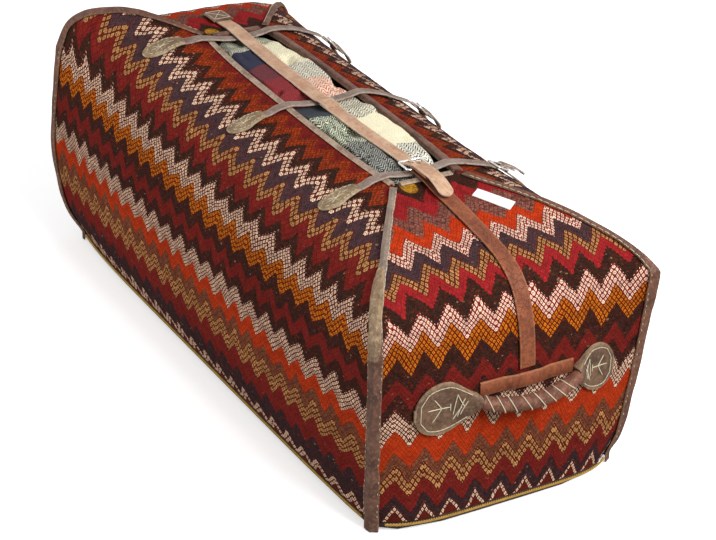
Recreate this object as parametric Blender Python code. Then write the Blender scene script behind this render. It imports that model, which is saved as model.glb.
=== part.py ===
"""Kilim bedding bag, built from its own pieces.

A box-shaped storage bag of woven wool with zigzag bands. Four woven panels rise from a leather
tray and fold over the top as flaps, leaving a long mouth. Leather strips bind the corner seams
and the rims, three cross straps and one long strap buckle over the mouth, and each end carries
a rolled handle between two leaf-shaped patches. Folded bedding fills the bag.

Metres, +Z up. The length runs along X and the width along Y. The origin is on the floor, under
the middle of the bag.
"""
import math

import bmesh
import bpy
import numpy as np
from mathutils import Matrix, Vector

# Body of the bag
MOUTH_HALF_LENGTH = 0.322     # the mouth's corners, measured along X
MOUTH_HALF_WIDTH = 0.056      # and along Y
MOUTH_HEIGHT = 0.446          # rim of the mouth above the floor
MOUTH_SPREAD = 0.012          # the long rims bow out this far at mid length
EAR_ANGLE = math.radians(34.6)  # direction of the corner seams in plan, from X
TRAY_HEIGHT = 0.018           # upturned edge of the leather tray
SIDE_RUN = 0.194              # from a long rim of the mouth out to the bulge of the side
END_RUN = 0.275               # the same from the mouth's end to the short end
SIDE_REACH = MOUTH_HALF_WIDTH + SIDE_RUN
END_REACH = MOUTH_HALF_LENGTH + END_RUN
SIDE_FOOT = SIDE_REACH - 0.026  # middle of a long side at the tray
END_FOOT = END_REACH - 0.005  # middle of a short end at the tray
FOOT_SQUARENESS = 2.5         # the foot follows its tray more squarely than the walls above
SHOULDER = 0.322              # height where the long sides turn over
END_LIFT = {"near": 0.0, "far": 0.030}  # the far end is stuffed fuller on top
SAG = 0.028                   # slope of the top from the fuller far end to the near end

# Each corner was stuffed differently: reach from the mouth's corner out to the pinched top
# corner, its height, how far the foot stands in, how the post swells at three heights, and how
# far the seam puffs up on its way to the mouth.
CORNERS = {
    "near_front": (0.322, 0.357, 0.038, (-0.028, -0.013, -0.005), 0.008),
    "near_back": (0.332, 0.357, 0.052, (-0.034, -0.019, -0.008), 0.012),
    "far_front": (0.311, 0.366, 0.040, (-0.002, 0.021, 0.014), 0.048),
    "far_back": (0.311, 0.360, 0.040, (-0.006, 0.012, 0.008), 0.008),
}
PANEL_THICKNESS = 0.004       # woven wool with its lining
SEAM_GAP = 0.0003             # clearance between touching pieces
PANEL_CLEARANCE = 0.0012      # between a curved panel and a strap that follows it
STRIP_CLEARANCE = 0.0030      # the same at the sharper curves of the corner seams
SEWN_CLEARANCE = 0.0006       # under small patches that are sewn down flat

# Weave
ZIGZAG_PERIOD = 0.048
ZIGZAG_HEIGHT = 0.028         # from trough to peak
RIDGE_HEIGHT = 0.0012         # raised against lowered edges of the bands
RIDGE_FADE = 0.022            # the relief dies out this close to a seam
SIDE_PERIODS = 23
END_PERIODS = 10

# Leather
CORNER_STRIP_ARM = 0.017      # the corner strip covers this much of each panel
EAR_STRIP_ARM = 0.013         # round the pinched ears
TOP_STRIP_ARM = 0.010         # and beside the seams on the top
STRIP_THICKNESS = 0.0032
STRIP_FOOT = 0.0015           # the corner strips end just above the floor
RIM_WIDTH = 0.013
RIM_DEPTH = 0.009
RIM_TOP = 0.0028              # leather over the woven edge
RIM_WRAP = 0.0008             # clearance of the leather past the woven edge
RIM_LIP = 0.0030              # leather beyond the woven edge
RIM_HEM = 0.0022              # thickness of the rim's outer hem
CORD_RADIUS = 0.0026
TRAY_THICKNESS = 0.004
TRAY_SET_IN = 0.008           # the tray's underside rounds in this far
TRAY_ROUND = 0.005            # and its edge stands upright from this height
LONG_STRAP_WIDTH = 0.029
LONG_STRAP_THICKNESS = 0.0030
CROSS_STRAP_WIDTH = 0.019
CROSS_STRAP_THICKNESS = 0.0026
CROSS_STRAP_DIP = 0.007       # they hang this far into the mouth
CROSS_STRAP_X = (-0.300, 0.002, 0.296)
CROSS_STRAP_NAMES = ("far", "middle", "near")
CROSS_BUCKLE_DROP = (0.152, 0.152, 0.096)  # from the mouth's rim down to each buckle
CROSS_STRAP_SLANT = 0.026     # both ends of a cross strap lie this far back along X
CROSS_ROOT_END = 0.030        # from the mouth's rim to where a strap leaves the flap
CROSS_CHAPE_TAIL = 0.064      # how far a chape runs on below its buckle
CROSS_BUCKLE_LIFT = 0.0016    # a cross buckle stands off its strap
LEAF_TAB_ROOT = 0.036         # from the mouth's rim to the neck of a leaf tab
LEAF_TAB_LENGTH = 0.072
LEAF_TAB_WIDTH = 0.036
PATCH_THICKNESS = 0.003
SQUARE_TAB_LENGTH = 0.048     # tab over the far end of the long strap
SQUARE_TAB_WIDTH = 0.038
SQUARE_TAB_THICKNESS = 0.0025
SQUARE_TAB_ROOT = 0.047       # from the mouth's end to the tab
SPLICE_X = 0.045              # the long strap's two lengths overlap up to here
SPLICE_LAP = 0.022
LONG_STRAP_DRIFT = 0.008      # the long strap wanders this far off the middle
LONG_STRAP_LEAN = 0.016       # and its lower end lies this far to the back

# Buckles
WIRE_RADIUS = 0.0020
PRONG_RADIUS = 0.0013
LONG_BUCKLE_SIZE = (0.030, 0.040)   # frame centre line, along and across the strap
CROSS_BUCKLE_SIZE = (0.024, 0.028)
WIRE_CORNER = 0.004           # bend of the frame's wire at its corners
PRONG_OVERHANG = 0.0015       # the prong's tip passes the frame
PRONG_HOLE_WIDTH = 0.0052     # slot for the prong through a strap
LONG_BUCKLE_X = 0.288         # middle of the long strap's buckle

# Handles
NECK_HEIGHT = 0.216           # the grip's ends above the floor
NECK_SPREAD = 0.086           # half the distance between the two necks
HANDLE_SHIFT = 0.017          # the grip sits this far to one side of the end's middle
GRIP_RADIUS = 0.0125
GRIP_SAG = 0.014
GRIP_STAND_OFF = 0.012        # the middle of the grip stands out this much further
NECK_STAND_OFF = 0.0155       # axis of the necks from the woven wall
NECK_SHARE = 0.80             # radius of a patch's neck against the grip's
# one leaf patch on each side of the grip: its direction, length, width and label
LEAF_PATCHES = ((-1, 0.104, 0.090, "front"), (1, 0.078, 0.086, "back"))
BASE_STRIP_RISE = 0.007       # the base strip starts this far above the necks
BASE_STRIP_WIDTH = 0.029

# Tag
TAG_WIDTH = 0.022
TAG_THICKNESS = 0.001
TAG_TOP = (0.050, 0.060)      # its upper end: along the end panel, and down from the rim
TAG_RUN = (0.034, 0.050)      # from its upper to its lower end, the same way

# Filling
BLANKET_CROWN = 0.006
BLANKET_CLEARANCE = 0.004     # below the cross straps
BLANKET_SET_IN = 0.016        # from the mouth's ends
DARK_BLANKET_SPAN = (-MOUTH_HALF_WIDTH + 0.003, -0.005)
CREAM_BLANKET_SPAN = (0.001, MOUTH_HALF_WIDTH + 0.001)
FILLING_CLEARANCE = 0.0075
FILLING_ROUNDING = 0.008      # the bedding draws back this much more at its edges
BEDDING_TOP = MOUTH_HEIGHT - 0.044

STRAP_RISE = PANEL_CLEARANCE + RIM_TOP + 0.0018  # underside of a strap where it crosses a rim

# Zigzag bands from the tray up: colour and height. The last band fills what is left.
SIDE_BANDS = (
    ("cream", 0.022), ("navy", 0.044), ("crimson", 0.040), ("tan", 0.031), ("mauve", 0.023),
    ("rust", 0.028), ("cream", 0.033), ("plum", 0.025), ("crimson", 0.027), ("plum", 0.028),
    ("orange", 0.031), ("cream", 0.028), ("brown", 0.021), ("crimson", 0.023), ("tan", 0.022),
    ("slate", 0.021), ("cream", 0.022), ("brown", 0.018), ("rust", 0.024),
)
END_BANDS = (
    ("cream", 0.012), ("navy", 0.020), ("crimson", 0.030), ("tan", 0.028), ("mauve", 0.025),
    ("rust", 0.040), ("cream", 0.040), ("plum", 0.026), ("crimson", 0.030), ("plum", 0.035),
    ("orange", 0.036), ("cream", 0.032), ("brown", 0.029), ("crimson", 0.022), ("tan", 0.023),
    ("slate", 0.026), ("cream", 0.029), ("rust", 0.027), ("mauve", 0.035), ("crimson", 0.040),
    ("brown", 0.035),
)

COLOURS = {
    "cream": (0.76, 0.60, 0.47), "navy": (0.060, 0.050, 0.070), "crimson": (0.28, 0.035, 0.040),
    "tan": (0.43, 0.24, 0.09), "mauve": (0.16, 0.085, 0.075), "rust": (0.36, 0.050, 0.018),
    "plum": (0.075, 0.035, 0.040), "orange": (0.52, 0.17, 0.020), "brown": (0.065, 0.038, 0.028),
    "slate": (0.090, 0.070, 0.095),
}
LEATHERS = {
    "binding": (0.22, 0.14, 0.095), "tray": (0.09, 0.048, 0.032), "grey_strap": (0.36, 0.27, 0.22),
    "pale_strap": (0.46, 0.30, 0.20), "red_strap": (0.32, 0.12, 0.060),
    "patch": (0.20, 0.14, 0.085), "grip": (0.25, 0.10, 0.055),
}
CLOTHS = {
    "bedding": (0.50, 0.44, 0.34), "cream_blanket": (0.62, 0.56, 0.44),
    "dark_blanket": (0.10, 0.06, 0.07), "tag": (0.85, 0.84, 0.82),
}
GOLD = (0.42, 0.25, 0.045)
NICKEL = (0.62, 0.60, 0.56)


def clear_scene():
    for obj in list(bpy.data.objects):
        bpy.data.objects.remove(obj, do_unlink=True)


def material(name, colour, roughness=0.8, metallic=0.0):
    found = bpy.data.materials.get(name)
    if found:
        return found
    made = bpy.data.materials.new(name)
    made.use_nodes = True
    shader = made.node_tree.nodes["Principled BSDF"]
    shader.inputs["Base Color"].default_value = (*colour, 1.0)
    shader.inputs["Roughness"].default_value = roughness
    shader.inputs["Metallic"].default_value = metallic
    return made


def add_object(name, bm, mat, smooth_angle=None):
    bmesh.ops.recalc_face_normals(bm, faces=bm.faces)
    if bm.calc_volume(signed=True) < 0:
        bmesh.ops.reverse_faces(bm, faces=bm.faces)
    mesh = bpy.data.meshes.new(name)
    bm.to_mesh(mesh)
    bm.free()
    for one in mat if isinstance(mat, (list, tuple)) else [mat]:
        mesh.materials.append(one)
    if smooth_angle:
        mesh.shade_smooth()
        mesh.set_sharp_from_angle(angle=math.radians(smooth_angle))
    obj = bpy.data.objects.new(name, mesh)
    bpy.context.collection.objects.link(obj)
    return obj


def sweep(sections, closed=False):
    """Skin a row of matching cross-sections. An open row gets flat ends."""
    bm = bmesh.new()
    rings = [[bm.verts.new(Vector(p)) for p in section] for section in sections]
    count = len(rings[0])
    pairs = list(zip(rings, rings[1:]))
    if closed:
        pairs.append((rings[-1], rings[0]))
    for a, b in pairs:
        for i in range(count):
            j = (i + 1) % count
            bm.faces.new((a[i], a[j], b[j], b[i]))
    if not closed:
        bm.faces.new(rings[0][::-1])
        bm.faces.new(rings[-1])
    return bm


def unit(vector):
    vector = np.asarray(vector, float)
    return vector / np.linalg.norm(vector)


class Curve:
    """A smooth curve through control points, read by its share of arc length."""

    def __init__(self, points, steps=24):
        pts = np.asarray(points, float)
        ends = np.vstack([2 * pts[0] - pts[1], pts, 2 * pts[-1] - pts[-2]])
        samples = []
        for i in range(1, len(ends) - 2):
            a, b, c, d = ends[i - 1], ends[i], ends[i + 1], ends[i + 2]
            for k in np.linspace(0, 1, steps, endpoint=False):
                samples.append(0.5 * (2 * b + (c - a) * k + (2 * a - 5 * b + 4 * c - d) * k ** 2
                                      + (3 * b - a - 3 * c + d) * k ** 3))
        samples.append(ends[-2])
        self.samples = np.array(samples)
        runs = np.linalg.norm(np.diff(self.samples, axis=0), axis=1)
        self.share = np.concatenate([[0], np.cumsum(runs)])
        self.length = self.share[-1]
        self.share = self.share / self.length

    def at(self, share):
        return np.array([np.interp(share, self.share, self.samples[:, k])
                         for k in range(self.samples.shape[1])])


# The corner seam lies in one upright plane, so it is drawn as distance from the mouth's corner
# against height: up the corner post to the ear, then back over the top to the mouth.
def corner_seam(reach, ear, tuck, swell, puff):
    post = Curve([(reach - tuck, TRAY_HEIGHT), (reach + swell[0], 0.18 * ear),
                  (reach + swell[1], 0.45 * ear), (reach + swell[2], 0.74 * ear), (reach, ear)])
    rise = MOUTH_HEIGHT - ear
    top = Curve([
        (reach, ear), (0.92 * reach, ear + 0.12 * rise + 0.80 * puff),
        (0.76 * reach, ear + 0.38 * rise + puff),
        (0.45 * reach, ear + 0.72 * rise + 0.80 * puff), (0, MOUTH_HEIGHT)])
    return post, top


SEAMS = {name: corner_seam(*shape) for name, shape in CORNERS.items()}
WALL_RISE = sum(post.length for post, _ in SEAMS.values()) / len(SEAMS)
SEAM_SIDEWAYS = np.array([math.sin(EAR_ANGLE), math.cos(EAR_ANGLE)])


def seam_at(turns, corner):
    """Corner seam in its own plane: 0 at the foot, 1 at the ear, 2 at the mouth."""
    post, top = SEAMS[corner]
    return post.at(turns) if turns <= 1 else top.at(turns - 1)


def seam_spot(turns, corner):
    r, z = seam_at(turns, corner)
    return np.array([MOUTH_HALF_LENGTH + r * math.cos(EAR_ANGLE),
                     MOUTH_HALF_WIDTH + r * math.sin(EAR_ANGLE), z])


def end_line(end):
    """Middle line of an end panel: distance out from the bag's middle against height."""
    ears = 0.5 * (seam_spot(1, end + "_front") + seam_spot(1, end + "_back"))
    lift = END_LIFT[end]
    low = ears[2] - 0.028 + 0.9 * lift
    return Curve([
        (END_FOOT, TRAY_HEIGHT), (END_REACH - 0.003, 0.26 * ears[2]),
        (END_REACH, 0.58 * ears[2]), (ears[0] - 0.006, low),
        (ears[0] - 0.052, low + 0.58 * (MOUTH_HEIGHT - low) + 0.2 * lift),
        (MOUTH_HALF_LENGTH + 0.100, MOUTH_HEIGHT - 0.016 + 0.5 * lift),
        (MOUTH_HALF_LENGTH, MOUTH_HEIGHT)])


SIDE_LINE = Curve([
    (SIDE_FOOT, TRAY_HEIGHT), (SIDE_REACH - 0.007, 0.080), (SIDE_REACH - 0.001, 0.135),
    (SIDE_REACH, 0.220), (SIDE_REACH - 0.017, SHOULDER),
    (SIDE_REACH - 0.067, SHOULDER + 0.56 * (MOUTH_HEIGHT - SHOULDER)),
    (MOUTH_HALF_WIDTH + 0.065, MOUTH_HEIGHT - 0.018),
    (MOUTH_HALF_WIDTH + MOUTH_SPREAD, MOUTH_HEIGHT)])


class Panel:
    """One woven panel: a wall and its flap, measured along (s) and up (v) the cloth."""

    def __init__(self, name, line, periods, along, sign, shoulder_spread, mouth_half, bands):
        self.name = name
        self.line = line
        self.half = periods * ZIGZAG_PERIOD / 2
        self.periods = periods
        self.along = along
        self.sign = sign
        self.spread = shoulder_spread
        self.height = line.length
        self.flap = self.height - WALL_RISE
        self.mouth_half = mouth_half
        self.bands = bands
        side = "front" if sign < 0 else "back"
        end = "near" if sign > 0 else "far"
        self.corners = (("far_" + side, "near_" + side) if along == "x"
                        else (end + "_front", end + "_back"))

    def half_at(self, v):
        over = max(0.0, (v - WALL_RISE) / self.flap)
        return self.half + (self.mouth_half - self.half) * over

    def turns(self, v):
        return v / WALL_RISE if v < WALL_RISE else 1 + (v - WALL_RISE) / self.flap

    def place(self, lateral, out, z):
        if self.along == "x":
            return np.array([lateral, self.sign * out, z])
        return np.array([self.sign * out, lateral, z])

    def point(self, s, v, gap=0.0):
        """Where the cloth's outer face lies, at s along the panel and v up it."""
        u = max(-1.0, min(1.0, s / self.half_at(v)))
        turns = self.turns(v)
        away, inset = gap * SEAM_SIDEWAYS[1], gap * SEAM_SIDEWAYS[0]
        share = 0.5 * (1 + u)
        high, low = seam_spot(turns, self.corners[1]), seam_spot(turns, self.corners[0])
        z_seam = share * high[2] + (1 - share) * low[2]
        if self.along == "x":
            lateral = share * (high[0] - inset) - (1 - share) * (low[0] - inset)
            out = share * high[1] + (1 - share) * low[1] + away
        else:
            lateral = share * (high[1] - away) - (1 - share) * (low[1] - away)
            out = share * high[0] + (1 - share) * low[0] + inset
        out_mid, z_mid = self.line.at(min(v, self.height) / self.height)
        weight = 1 - abs(u) ** (self.spread + FOOT_SQUARENESS * max(0.0, 1 - v / 0.12))
        return self.place(lateral, out + (out_mid - out) * weight,
                          z_seam + (z_mid - z_seam) * weight)

    def normal(self, s, v):
        """Outward unit normal of the cloth."""
        step = 0.003
        s = max(-self.half_at(v) + 2 * step, min(self.half_at(v) - 2 * step, s))
        low, high = max(0.0, v - step), min(self.height, v + step)
        across = self.point(s + step, v) - self.point(s - step, v)
        up = self.point(s, high) - self.point(s, low)
        found = unit(np.cross(across, up))
        facing = found[1 if self.along == "x" else 0] * self.sign + found[2]
        return found if facing > 0 else -found

    def level(self, s, v):
        """Direction along the cloth at one height."""
        return unit(self.point(s + 0.004, v) - self.point(s - 0.004, v))

    def above(self, s, v, offset):
        return self.point(s, v) + self.normal(s, v) * offset


def seam_frame(turns, corner):
    """Seam point, tangent and outward direction at a corner (sign of x, sign of y)."""
    step = 0.01
    low, high = max(0.0, turns - step), min(2.0, turns + step)
    if turns < 1:
        high = min(high, 1.0)
    elif turns > 1:
        low = max(low, 1.0)
    name = ("near" if corner[0] > 0 else "far") + ("_front" if corner[1] < 0 else "_back")
    r, z = seam_at(turns, name)
    dr, dz = seam_at(high, name) - seam_at(low, name)
    size = math.hypot(dr, dz)
    dr, dz = dr / size, dz / size
    plan = np.array([corner[0] * math.cos(EAR_ANGLE), corner[1] * math.sin(EAR_ANGLE), 0])
    up = np.array([0, 0, 1])
    mouth = np.array([corner[0] * MOUTH_HALF_LENGTH, corner[1] * MOUTH_HALF_WIDTH, 0])
    return mouth + plan * r + up * z, plan * dr + up * dz, plan * dz - up * dr


FRONT = Panel("front_panel", SIDE_LINE, SIDE_PERIODS, "x", -1, 3.4, MOUTH_HALF_LENGTH,
              SIDE_BANDS)
BACK = Panel("back_panel", SIDE_LINE, SIDE_PERIODS, "x", 1, 3.4, MOUTH_HALF_LENGTH,
             SIDE_BANDS)
RIGHT = Panel("right_end_panel", end_line("near"), END_PERIODS, "y", 1, 3.0, MOUTH_HALF_WIDTH,
              END_BANDS)
LEFT = Panel("left_end_panel", end_line("far"), END_PERIODS, "y", -1, 3.0, MOUTH_HALF_WIDTH,
             END_BANDS)


def zigzag_sheet(panel):
    """The cloth laid flat as (s, v, relief), one row of faces to a band, cut to its outline."""
    bm = bmesh.new()
    rows = [-ZIGZAG_PERIOD]
    top = 0.0
    for _, height in panel.bands:
        top += height
        rows.append(top)
    rows[-1] = max(rows[-1], panel.height) + ZIGZAG_PERIOD
    columns = 2 * panel.periods + 2
    grid = []
    for i, mean in enumerate(rows):
        relief = RIDGE_HEIGHT / 2 * (1 if i % 2 else -1)
        row = []
        for j in range(columns + 1):
            s = (j - columns / 2) * ZIGZAG_PERIOD / 2
            swing = ZIGZAG_HEIGHT / 2 * (1 if (j - columns // 2) % 2 else -1)
            row.append(bm.verts.new((s, mean + swing, relief)))
        grid.append(row)
    names = sorted(COLOURS)
    for i, (band, _) in enumerate(panel.bands):
        for j in range(columns):
            face = bm.faces.new((grid[i][j], grid[i][j + 1], grid[i + 1][j + 1], grid[i + 1][j]))
            face.material_index = names.index(band)
    slope = panel.half - panel.mouth_half
    cuts = [((0, 0, 0), (0, -1, 0)), ((0, panel.height, 0), (0, 1, 0))]
    for side in (-1, 1):
        cuts.append(((side * panel.half, 0, 0), (side, 0, 0)))
        cuts.append(((side * panel.half, WALL_RISE, 0), (side * panel.flap, slope, 0)))
    for co, no in cuts:
        bmesh.ops.bisect_plane(bm, geom=bm.verts[:] + bm.edges[:] + bm.faces[:], dist=1e-6,
                               plane_co=co, plane_no=no, clear_outer=True)
    return bm


def outline_corners(panel):
    return [(-panel.half, 0), (panel.half, 0), (panel.half, WALL_RISE),
            (panel.mouth_half, panel.height), (-panel.mouth_half, panel.height),
            (-panel.half, WALL_RISE)]


def side_of(panel, s, v):
    """Which of the six sides of the outline a border point lies on, and how far along."""
    corners = outline_corners(panel)
    best = None
    for k, a in enumerate(corners):
        b = corners[(k + 1) % 6]
        run = np.subtract(b, a)
        length = np.linalg.norm(run)
        rel = np.subtract((s, v), a)
        along = float(np.dot(rel, run)) / length
        off = abs(float(run[0] * rel[1] - run[1] * rel[0])) / length
        if best is None or off < best[0] - 1e-7:
            best = (off, k, along / length)
    return best


def border_place(panel, s, v, depth):
    """A point of the panel's edge, on its outer face or depth inside it."""
    outer = panel.point(s, v, SEAM_GAP)
    if depth == 0:
        return outer
    if abs(abs(s) - panel.half_at(v)) > 1e-5:
        return outer - panel.normal(s, v) * depth
    corner = (math.copysign(1, outer[0]), math.copysign(1, outer[1]))
    turns = panel.turns(v)
    out_dir = seam_frame(turns, corner)[2]
    if abs(turns - 1) < 0.02:
        out_dir = unit(seam_frame(0.97, corner)[2] + seam_frame(1.03, corner)[2])
    return outer - out_dir * depth


def build_panel(panel):
    """Outer face with its ridged bands, a plain lining behind, and the edges between."""
    flat = zigzag_sheet(panel)
    bm = bmesh.new()
    placed = {}
    border = []
    for vert in flat.verts:
        s, v, relief = vert.co
        edge = min(v, panel.height - v, (panel.half_at(v) - abs(s)) * 0.9)
        fade = min(1.0, max(0.0, edge / RIDGE_FADE))
        if any(len(e.link_faces) == 1 for e in vert.link_edges):
            spot = border_place(panel, s, v, 0)
            border.append((s, v, vert))
        else:
            spot = panel.point(s, v) + panel.normal(s, v) * relief * fade
        placed[vert] = bm.verts.new(spot)
    for face in flat.faces:
        made = bm.faces.new([placed[v] for v in face.verts])
        made.material_index = face.material_index
    chains = [[] for _ in range(6)]
    corners = outline_corners(panel)
    for s, v, vert in border:
        hits = [k for k, c in enumerate(corners) if math.dist(c, (s, v)) < 1e-5]
        if hits:
            chains[hits[0]].append((0.0, placed[vert]))
            chains[hits[0] - 1].append((1.0, placed[vert]))
        else:
            _, k, share = side_of(panel, s, v)
            chains[k].append((share, placed[vert]))
    flat.free()
    lining, inner_chains = build_lining(panel, bm)
    for k in range(6):
        stitch_chains(bm, sorted(chains[k], key=lambda c: c[0]), inner_chains[k])
    names = sorted(COLOURS)
    mats = [material("wool_" + n, COLOURS[n], 0.95) for n in names]
    return add_object(panel.name, bm, mats)


def build_lining(panel, bm):
    """Coarse inner face of a panel, with the vertices of each of its six sides."""
    columns = 8 if panel.along == "x" else 5
    wall_rows, flap_rows = 6, 4
    heights = [WALL_RISE * k / wall_rows for k in range(wall_rows + 1)]
    heights += [WALL_RISE + panel.flap * k / flap_rows for k in range(1, flap_rows + 1)]
    grid = []
    for v in heights:
        row = []
        for j in range(columns + 1):
            s = panel.half_at(v) * (2 * j / columns - 1)
            on_border = j in (0, columns) or v in (heights[0], heights[-1])
            if on_border:
                spot = border_place(panel, s, v, PANEL_THICKNESS)
            else:
                spot = panel.point(s, v) - panel.normal(s, v) * PANEL_THICKNESS
            row.append(bm.verts.new(spot))
        grid.append(row)
    for low, high in zip(grid, grid[1:]):
        for j in range(columns):
            bm.faces.new((low[j], high[j], high[j + 1], low[j + 1]))
    bottom = [(j / columns, v) for j, v in enumerate(grid[0])]
    right = [(k / wall_rows, grid[k][-1]) for k in range(wall_rows + 1)]
    right_top = [(k / flap_rows, grid[wall_rows + k][-1]) for k in range(flap_rows + 1)]
    top = [(j / columns, v) for j, v in enumerate(grid[-1][::-1])]
    left_top = [(1 - k / flap_rows, grid[wall_rows + k][0]) for k in range(flap_rows, -1, -1)]
    left = [(1 - k / wall_rows, grid[k][0]) for k in range(wall_rows, -1, -1)]
    return grid, [bottom, right, right_top, top, left_top, left]


def stitch_chains(bm, a, b):
    """Fill between two rows of vertices that run side by side."""
    i = j = 0
    while i < len(a) - 1 or j < len(b) - 1:
        next_a = a[i + 1][0] if i < len(a) - 1 else 9
        next_b = b[j + 1][0] if j < len(b) - 1 else 9
        if next_a <= next_b:
            bm.faces.new((a[i][1], a[i + 1][1], b[j][1]))
            i += 1
        else:
            bm.faces.new((a[i][1], b[j + 1][1], b[j][1]))
            j += 1


def tray_stations(panel):
    count = 8 if panel.along == "x" else 6
    return [panel.half * (2 * (j + 0.5) / count - 1) for j in range(count)]


def build_tray():
    """Leather tray under the bag, with a low upturned edge flush with the panels."""
    outline = []
    for panel, flip in ((FRONT, 1), (RIGHT, 1), (BACK, -1), (LEFT, -1)):
        for station in tray_stations(panel):
            s = flip * station
            outline.append((panel.point(s, 0), panel.normal(s, 0)))
        x, y, z = seam_spot(0, panel.corners[1 if flip > 0 else 0])
        x = x * (1 if panel in (FRONT, RIGHT) else -1)
        y = y * (1 if panel in (RIGHT, BACK) else -1)
        outline.append((np.array([0.995 * x, 0.993 * y, z]), np.array([x, 1.5 * y, 0])))

    def ring(inset, z):
        ring_points = []
        for spot, out in outline:
            flat_out = unit((out[0], out[1], 0))
            ring_points.append((*(spot - flat_out * inset)[:2], z))
        return ring_points

    top = TRAY_HEIGHT - SEAM_GAP
    edge = SEWN_CLEARANCE
    sections = [ring(TRAY_SET_IN, 0), ring(3 * edge, TRAY_ROUND), ring(edge, top),
                ring(edge + TRAY_THICKNESS, top),
                ring(edge + 1.5 * TRAY_THICKNESS, TRAY_THICKNESS)]
    return add_object("base_tray", sweep(sections),
                      material("tray_leather", LEATHERS["tray"], 0.7))


def corner_strip(name, corner):
    """Leather strip folded over one corner seam, from the floor up and over to the mouth."""
    side, end = (FRONT if corner[1] < 0 else BACK), (RIGHT if corner[0] > 0 else LEFT)
    stations = [0.0, 0.12, 0.25, 0.38, 0.50, 0.62, 0.75, 0.88, 0.96, 1.0, 1.05, 1.12, 1.19, 1.27,
                1.36, 1.50, 1.70, 1.955]
    sections = []
    for turns in stations:
        spot, _, out = seam_frame(turns, corner)
        if turns == 1.0:
            out = unit(seam_frame(0.97, corner)[2] + seam_frame(1.03, corner)[2]) * 1.25
        arm = CORNER_STRIP_ARM if turns < 0.9 else TOP_STRIP_ARM
        if 0.9 < turns < 1.1:
            arm = EAR_STRIP_ARM
        clear = STRIP_CLEARANCE * (0.5 if 0.3 < turns < 0.8 else 1)
        inner, outer = [], []
        for panel in (side, end):
            v = turns * WALL_RISE if turns <= 1 else WALL_RISE + (turns - 1) * panel.flap
            sign = corner[0] if panel.along == "x" else corner[1]
            s = sign * (panel.half_at(v) - arm)
            normal = panel.normal(s, v)
            base = panel.point(s, v)
            inner.append(base + normal * clear)
            outer.append(base + normal * (clear + 0.75 * STRIP_THICKNESS))
        apex_in = spot + out * clear
        apex_out = spot + out * (clear + 1.5 * STRIP_THICKNESS)
        sections.append([inner[0], apex_in, inner[1], outer[1], apex_out, outer[0]])
    foot = [np.array([p[0], p[1], STRIP_FOOT]) for p in sections[0]]
    return add_object(name, sweep([foot] + sections),
                      material("binding_leather", LEATHERS["binding"], 0.62), 40)


def rim_strip(name, panel):
    """Leather folded over the free edge of a flap along the mouth."""
    reach = panel.mouth_half - (0.004 if panel.along == "x" else RIM_DEPTH + 0.001)
    back_v = panel.height - RIM_WIDTH
    count = 11 if panel.along == "x" else 4
    sections = []
    for j in range(count + 1):
        s = reach * (2 * j / count - 1)
        edge = panel.point(s, panel.height)
        limit = panel.half_at(back_v) - TOP_STRIP_ARM
        s_back = max(-limit, min(limit, s))
        back = panel.point(s_back, back_v)
        normal = panel.normal(s, panel.height - 0.004)
        inward = unit(edge - panel.point(s, panel.height - 0.006))
        over = PANEL_CLEARANCE
        bottom = edge - normal * (PANEL_THICKNESS + 0.001)
        sections.append([
            back + normal * over, edge + normal * over + inward * RIM_WRAP,
            bottom + inward * RIM_WRAP, bottom + inward * (RIM_LIP + RIM_WRAP),
            edge + normal * (over + RIM_TOP) + inward * RIM_LIP,
            back + normal * (over + RIM_HEM)])
    return add_object(name, sweep(sections),
                      material("binding_leather", LEATHERS["binding"], 0.62), 40)


def base_cord(name, panel):
    """Gold cord laid along the seam between a panel and the tray."""
    reach = panel.half - CORNER_STRIP_ARM - 0.002
    sections = []
    for s in (-reach, *tray_stations(panel), reach):
        out = panel.normal(s, 0)
        out = unit((out[0], out[1], 0))
        centre = panel.point(s, 0) + out * CORD_RADIUS
        centre[2] = TRAY_HEIGHT - 1.4 * CORD_RADIUS
        sections.append([centre + CORD_RADIUS * (out * math.cos(a) + np.array([0, 0, math.sin(a)]))
                         for a in np.linspace(0, 2 * math.pi, 5)[:-1]])
    return add_object(name, sweep(sections), material("gold_cord", GOLD, 0.8), 60)


def loop_at(turns, inset):
    """One closed round of the bag's inside at the same stage of all four panels."""
    ring = []
    for panel, flip in ((FRONT, 1), (RIGHT, 1), (BACK, -1), (LEFT, -1)):
        count = 6 if panel.along == "x" else 4
        for j in range(count):
            v = turns * WALL_RISE if turns <= 1 else WALL_RISE + (turns - 1) * panel.flap
            s = flip * panel.half_at(v) * (2 * (j + 0.5) / count - 1)
            ring.append(panel.point(s, v) - panel.normal(s, v) * inset)
    return ring


def build_bedding():
    """The folded bedding that fills the bag and gives it its shape."""
    inset = PANEL_THICKNESS + FILLING_CLEARANCE
    stages = [0.05, 0.22, 0.5, 0.72, 0.92, 1.12, 1.4, 1.8]
    rings = []
    for turns in stages:
        rounded = 0.8 < turns < 1.2 or turns < 0.3
        rings.append(loop_at(turns, inset + (FILLING_ROUNDING if rounded else 0)))
    floor_z = TRAY_THICKNESS + SEAM_GAP
    foot = [np.array([0.94 * p[0], 0.92 * p[1], floor_z]) for p in rings[0]]
    ledge = [np.array([p[0], p[1], min(p[2], BEDDING_TOP)]) for p in rings[-1]]
    top = [np.array([0.90 * p[0], 0.80 * p[1], BEDDING_TOP]) for p in ledge]
    rings = rings[:-1] + [ledge, top]
    return add_object("bedding_filling", sweep([foot] + rings),
                      material("bedding_cloth", CLOTHS["bedding"], 0.95), 60)


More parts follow.
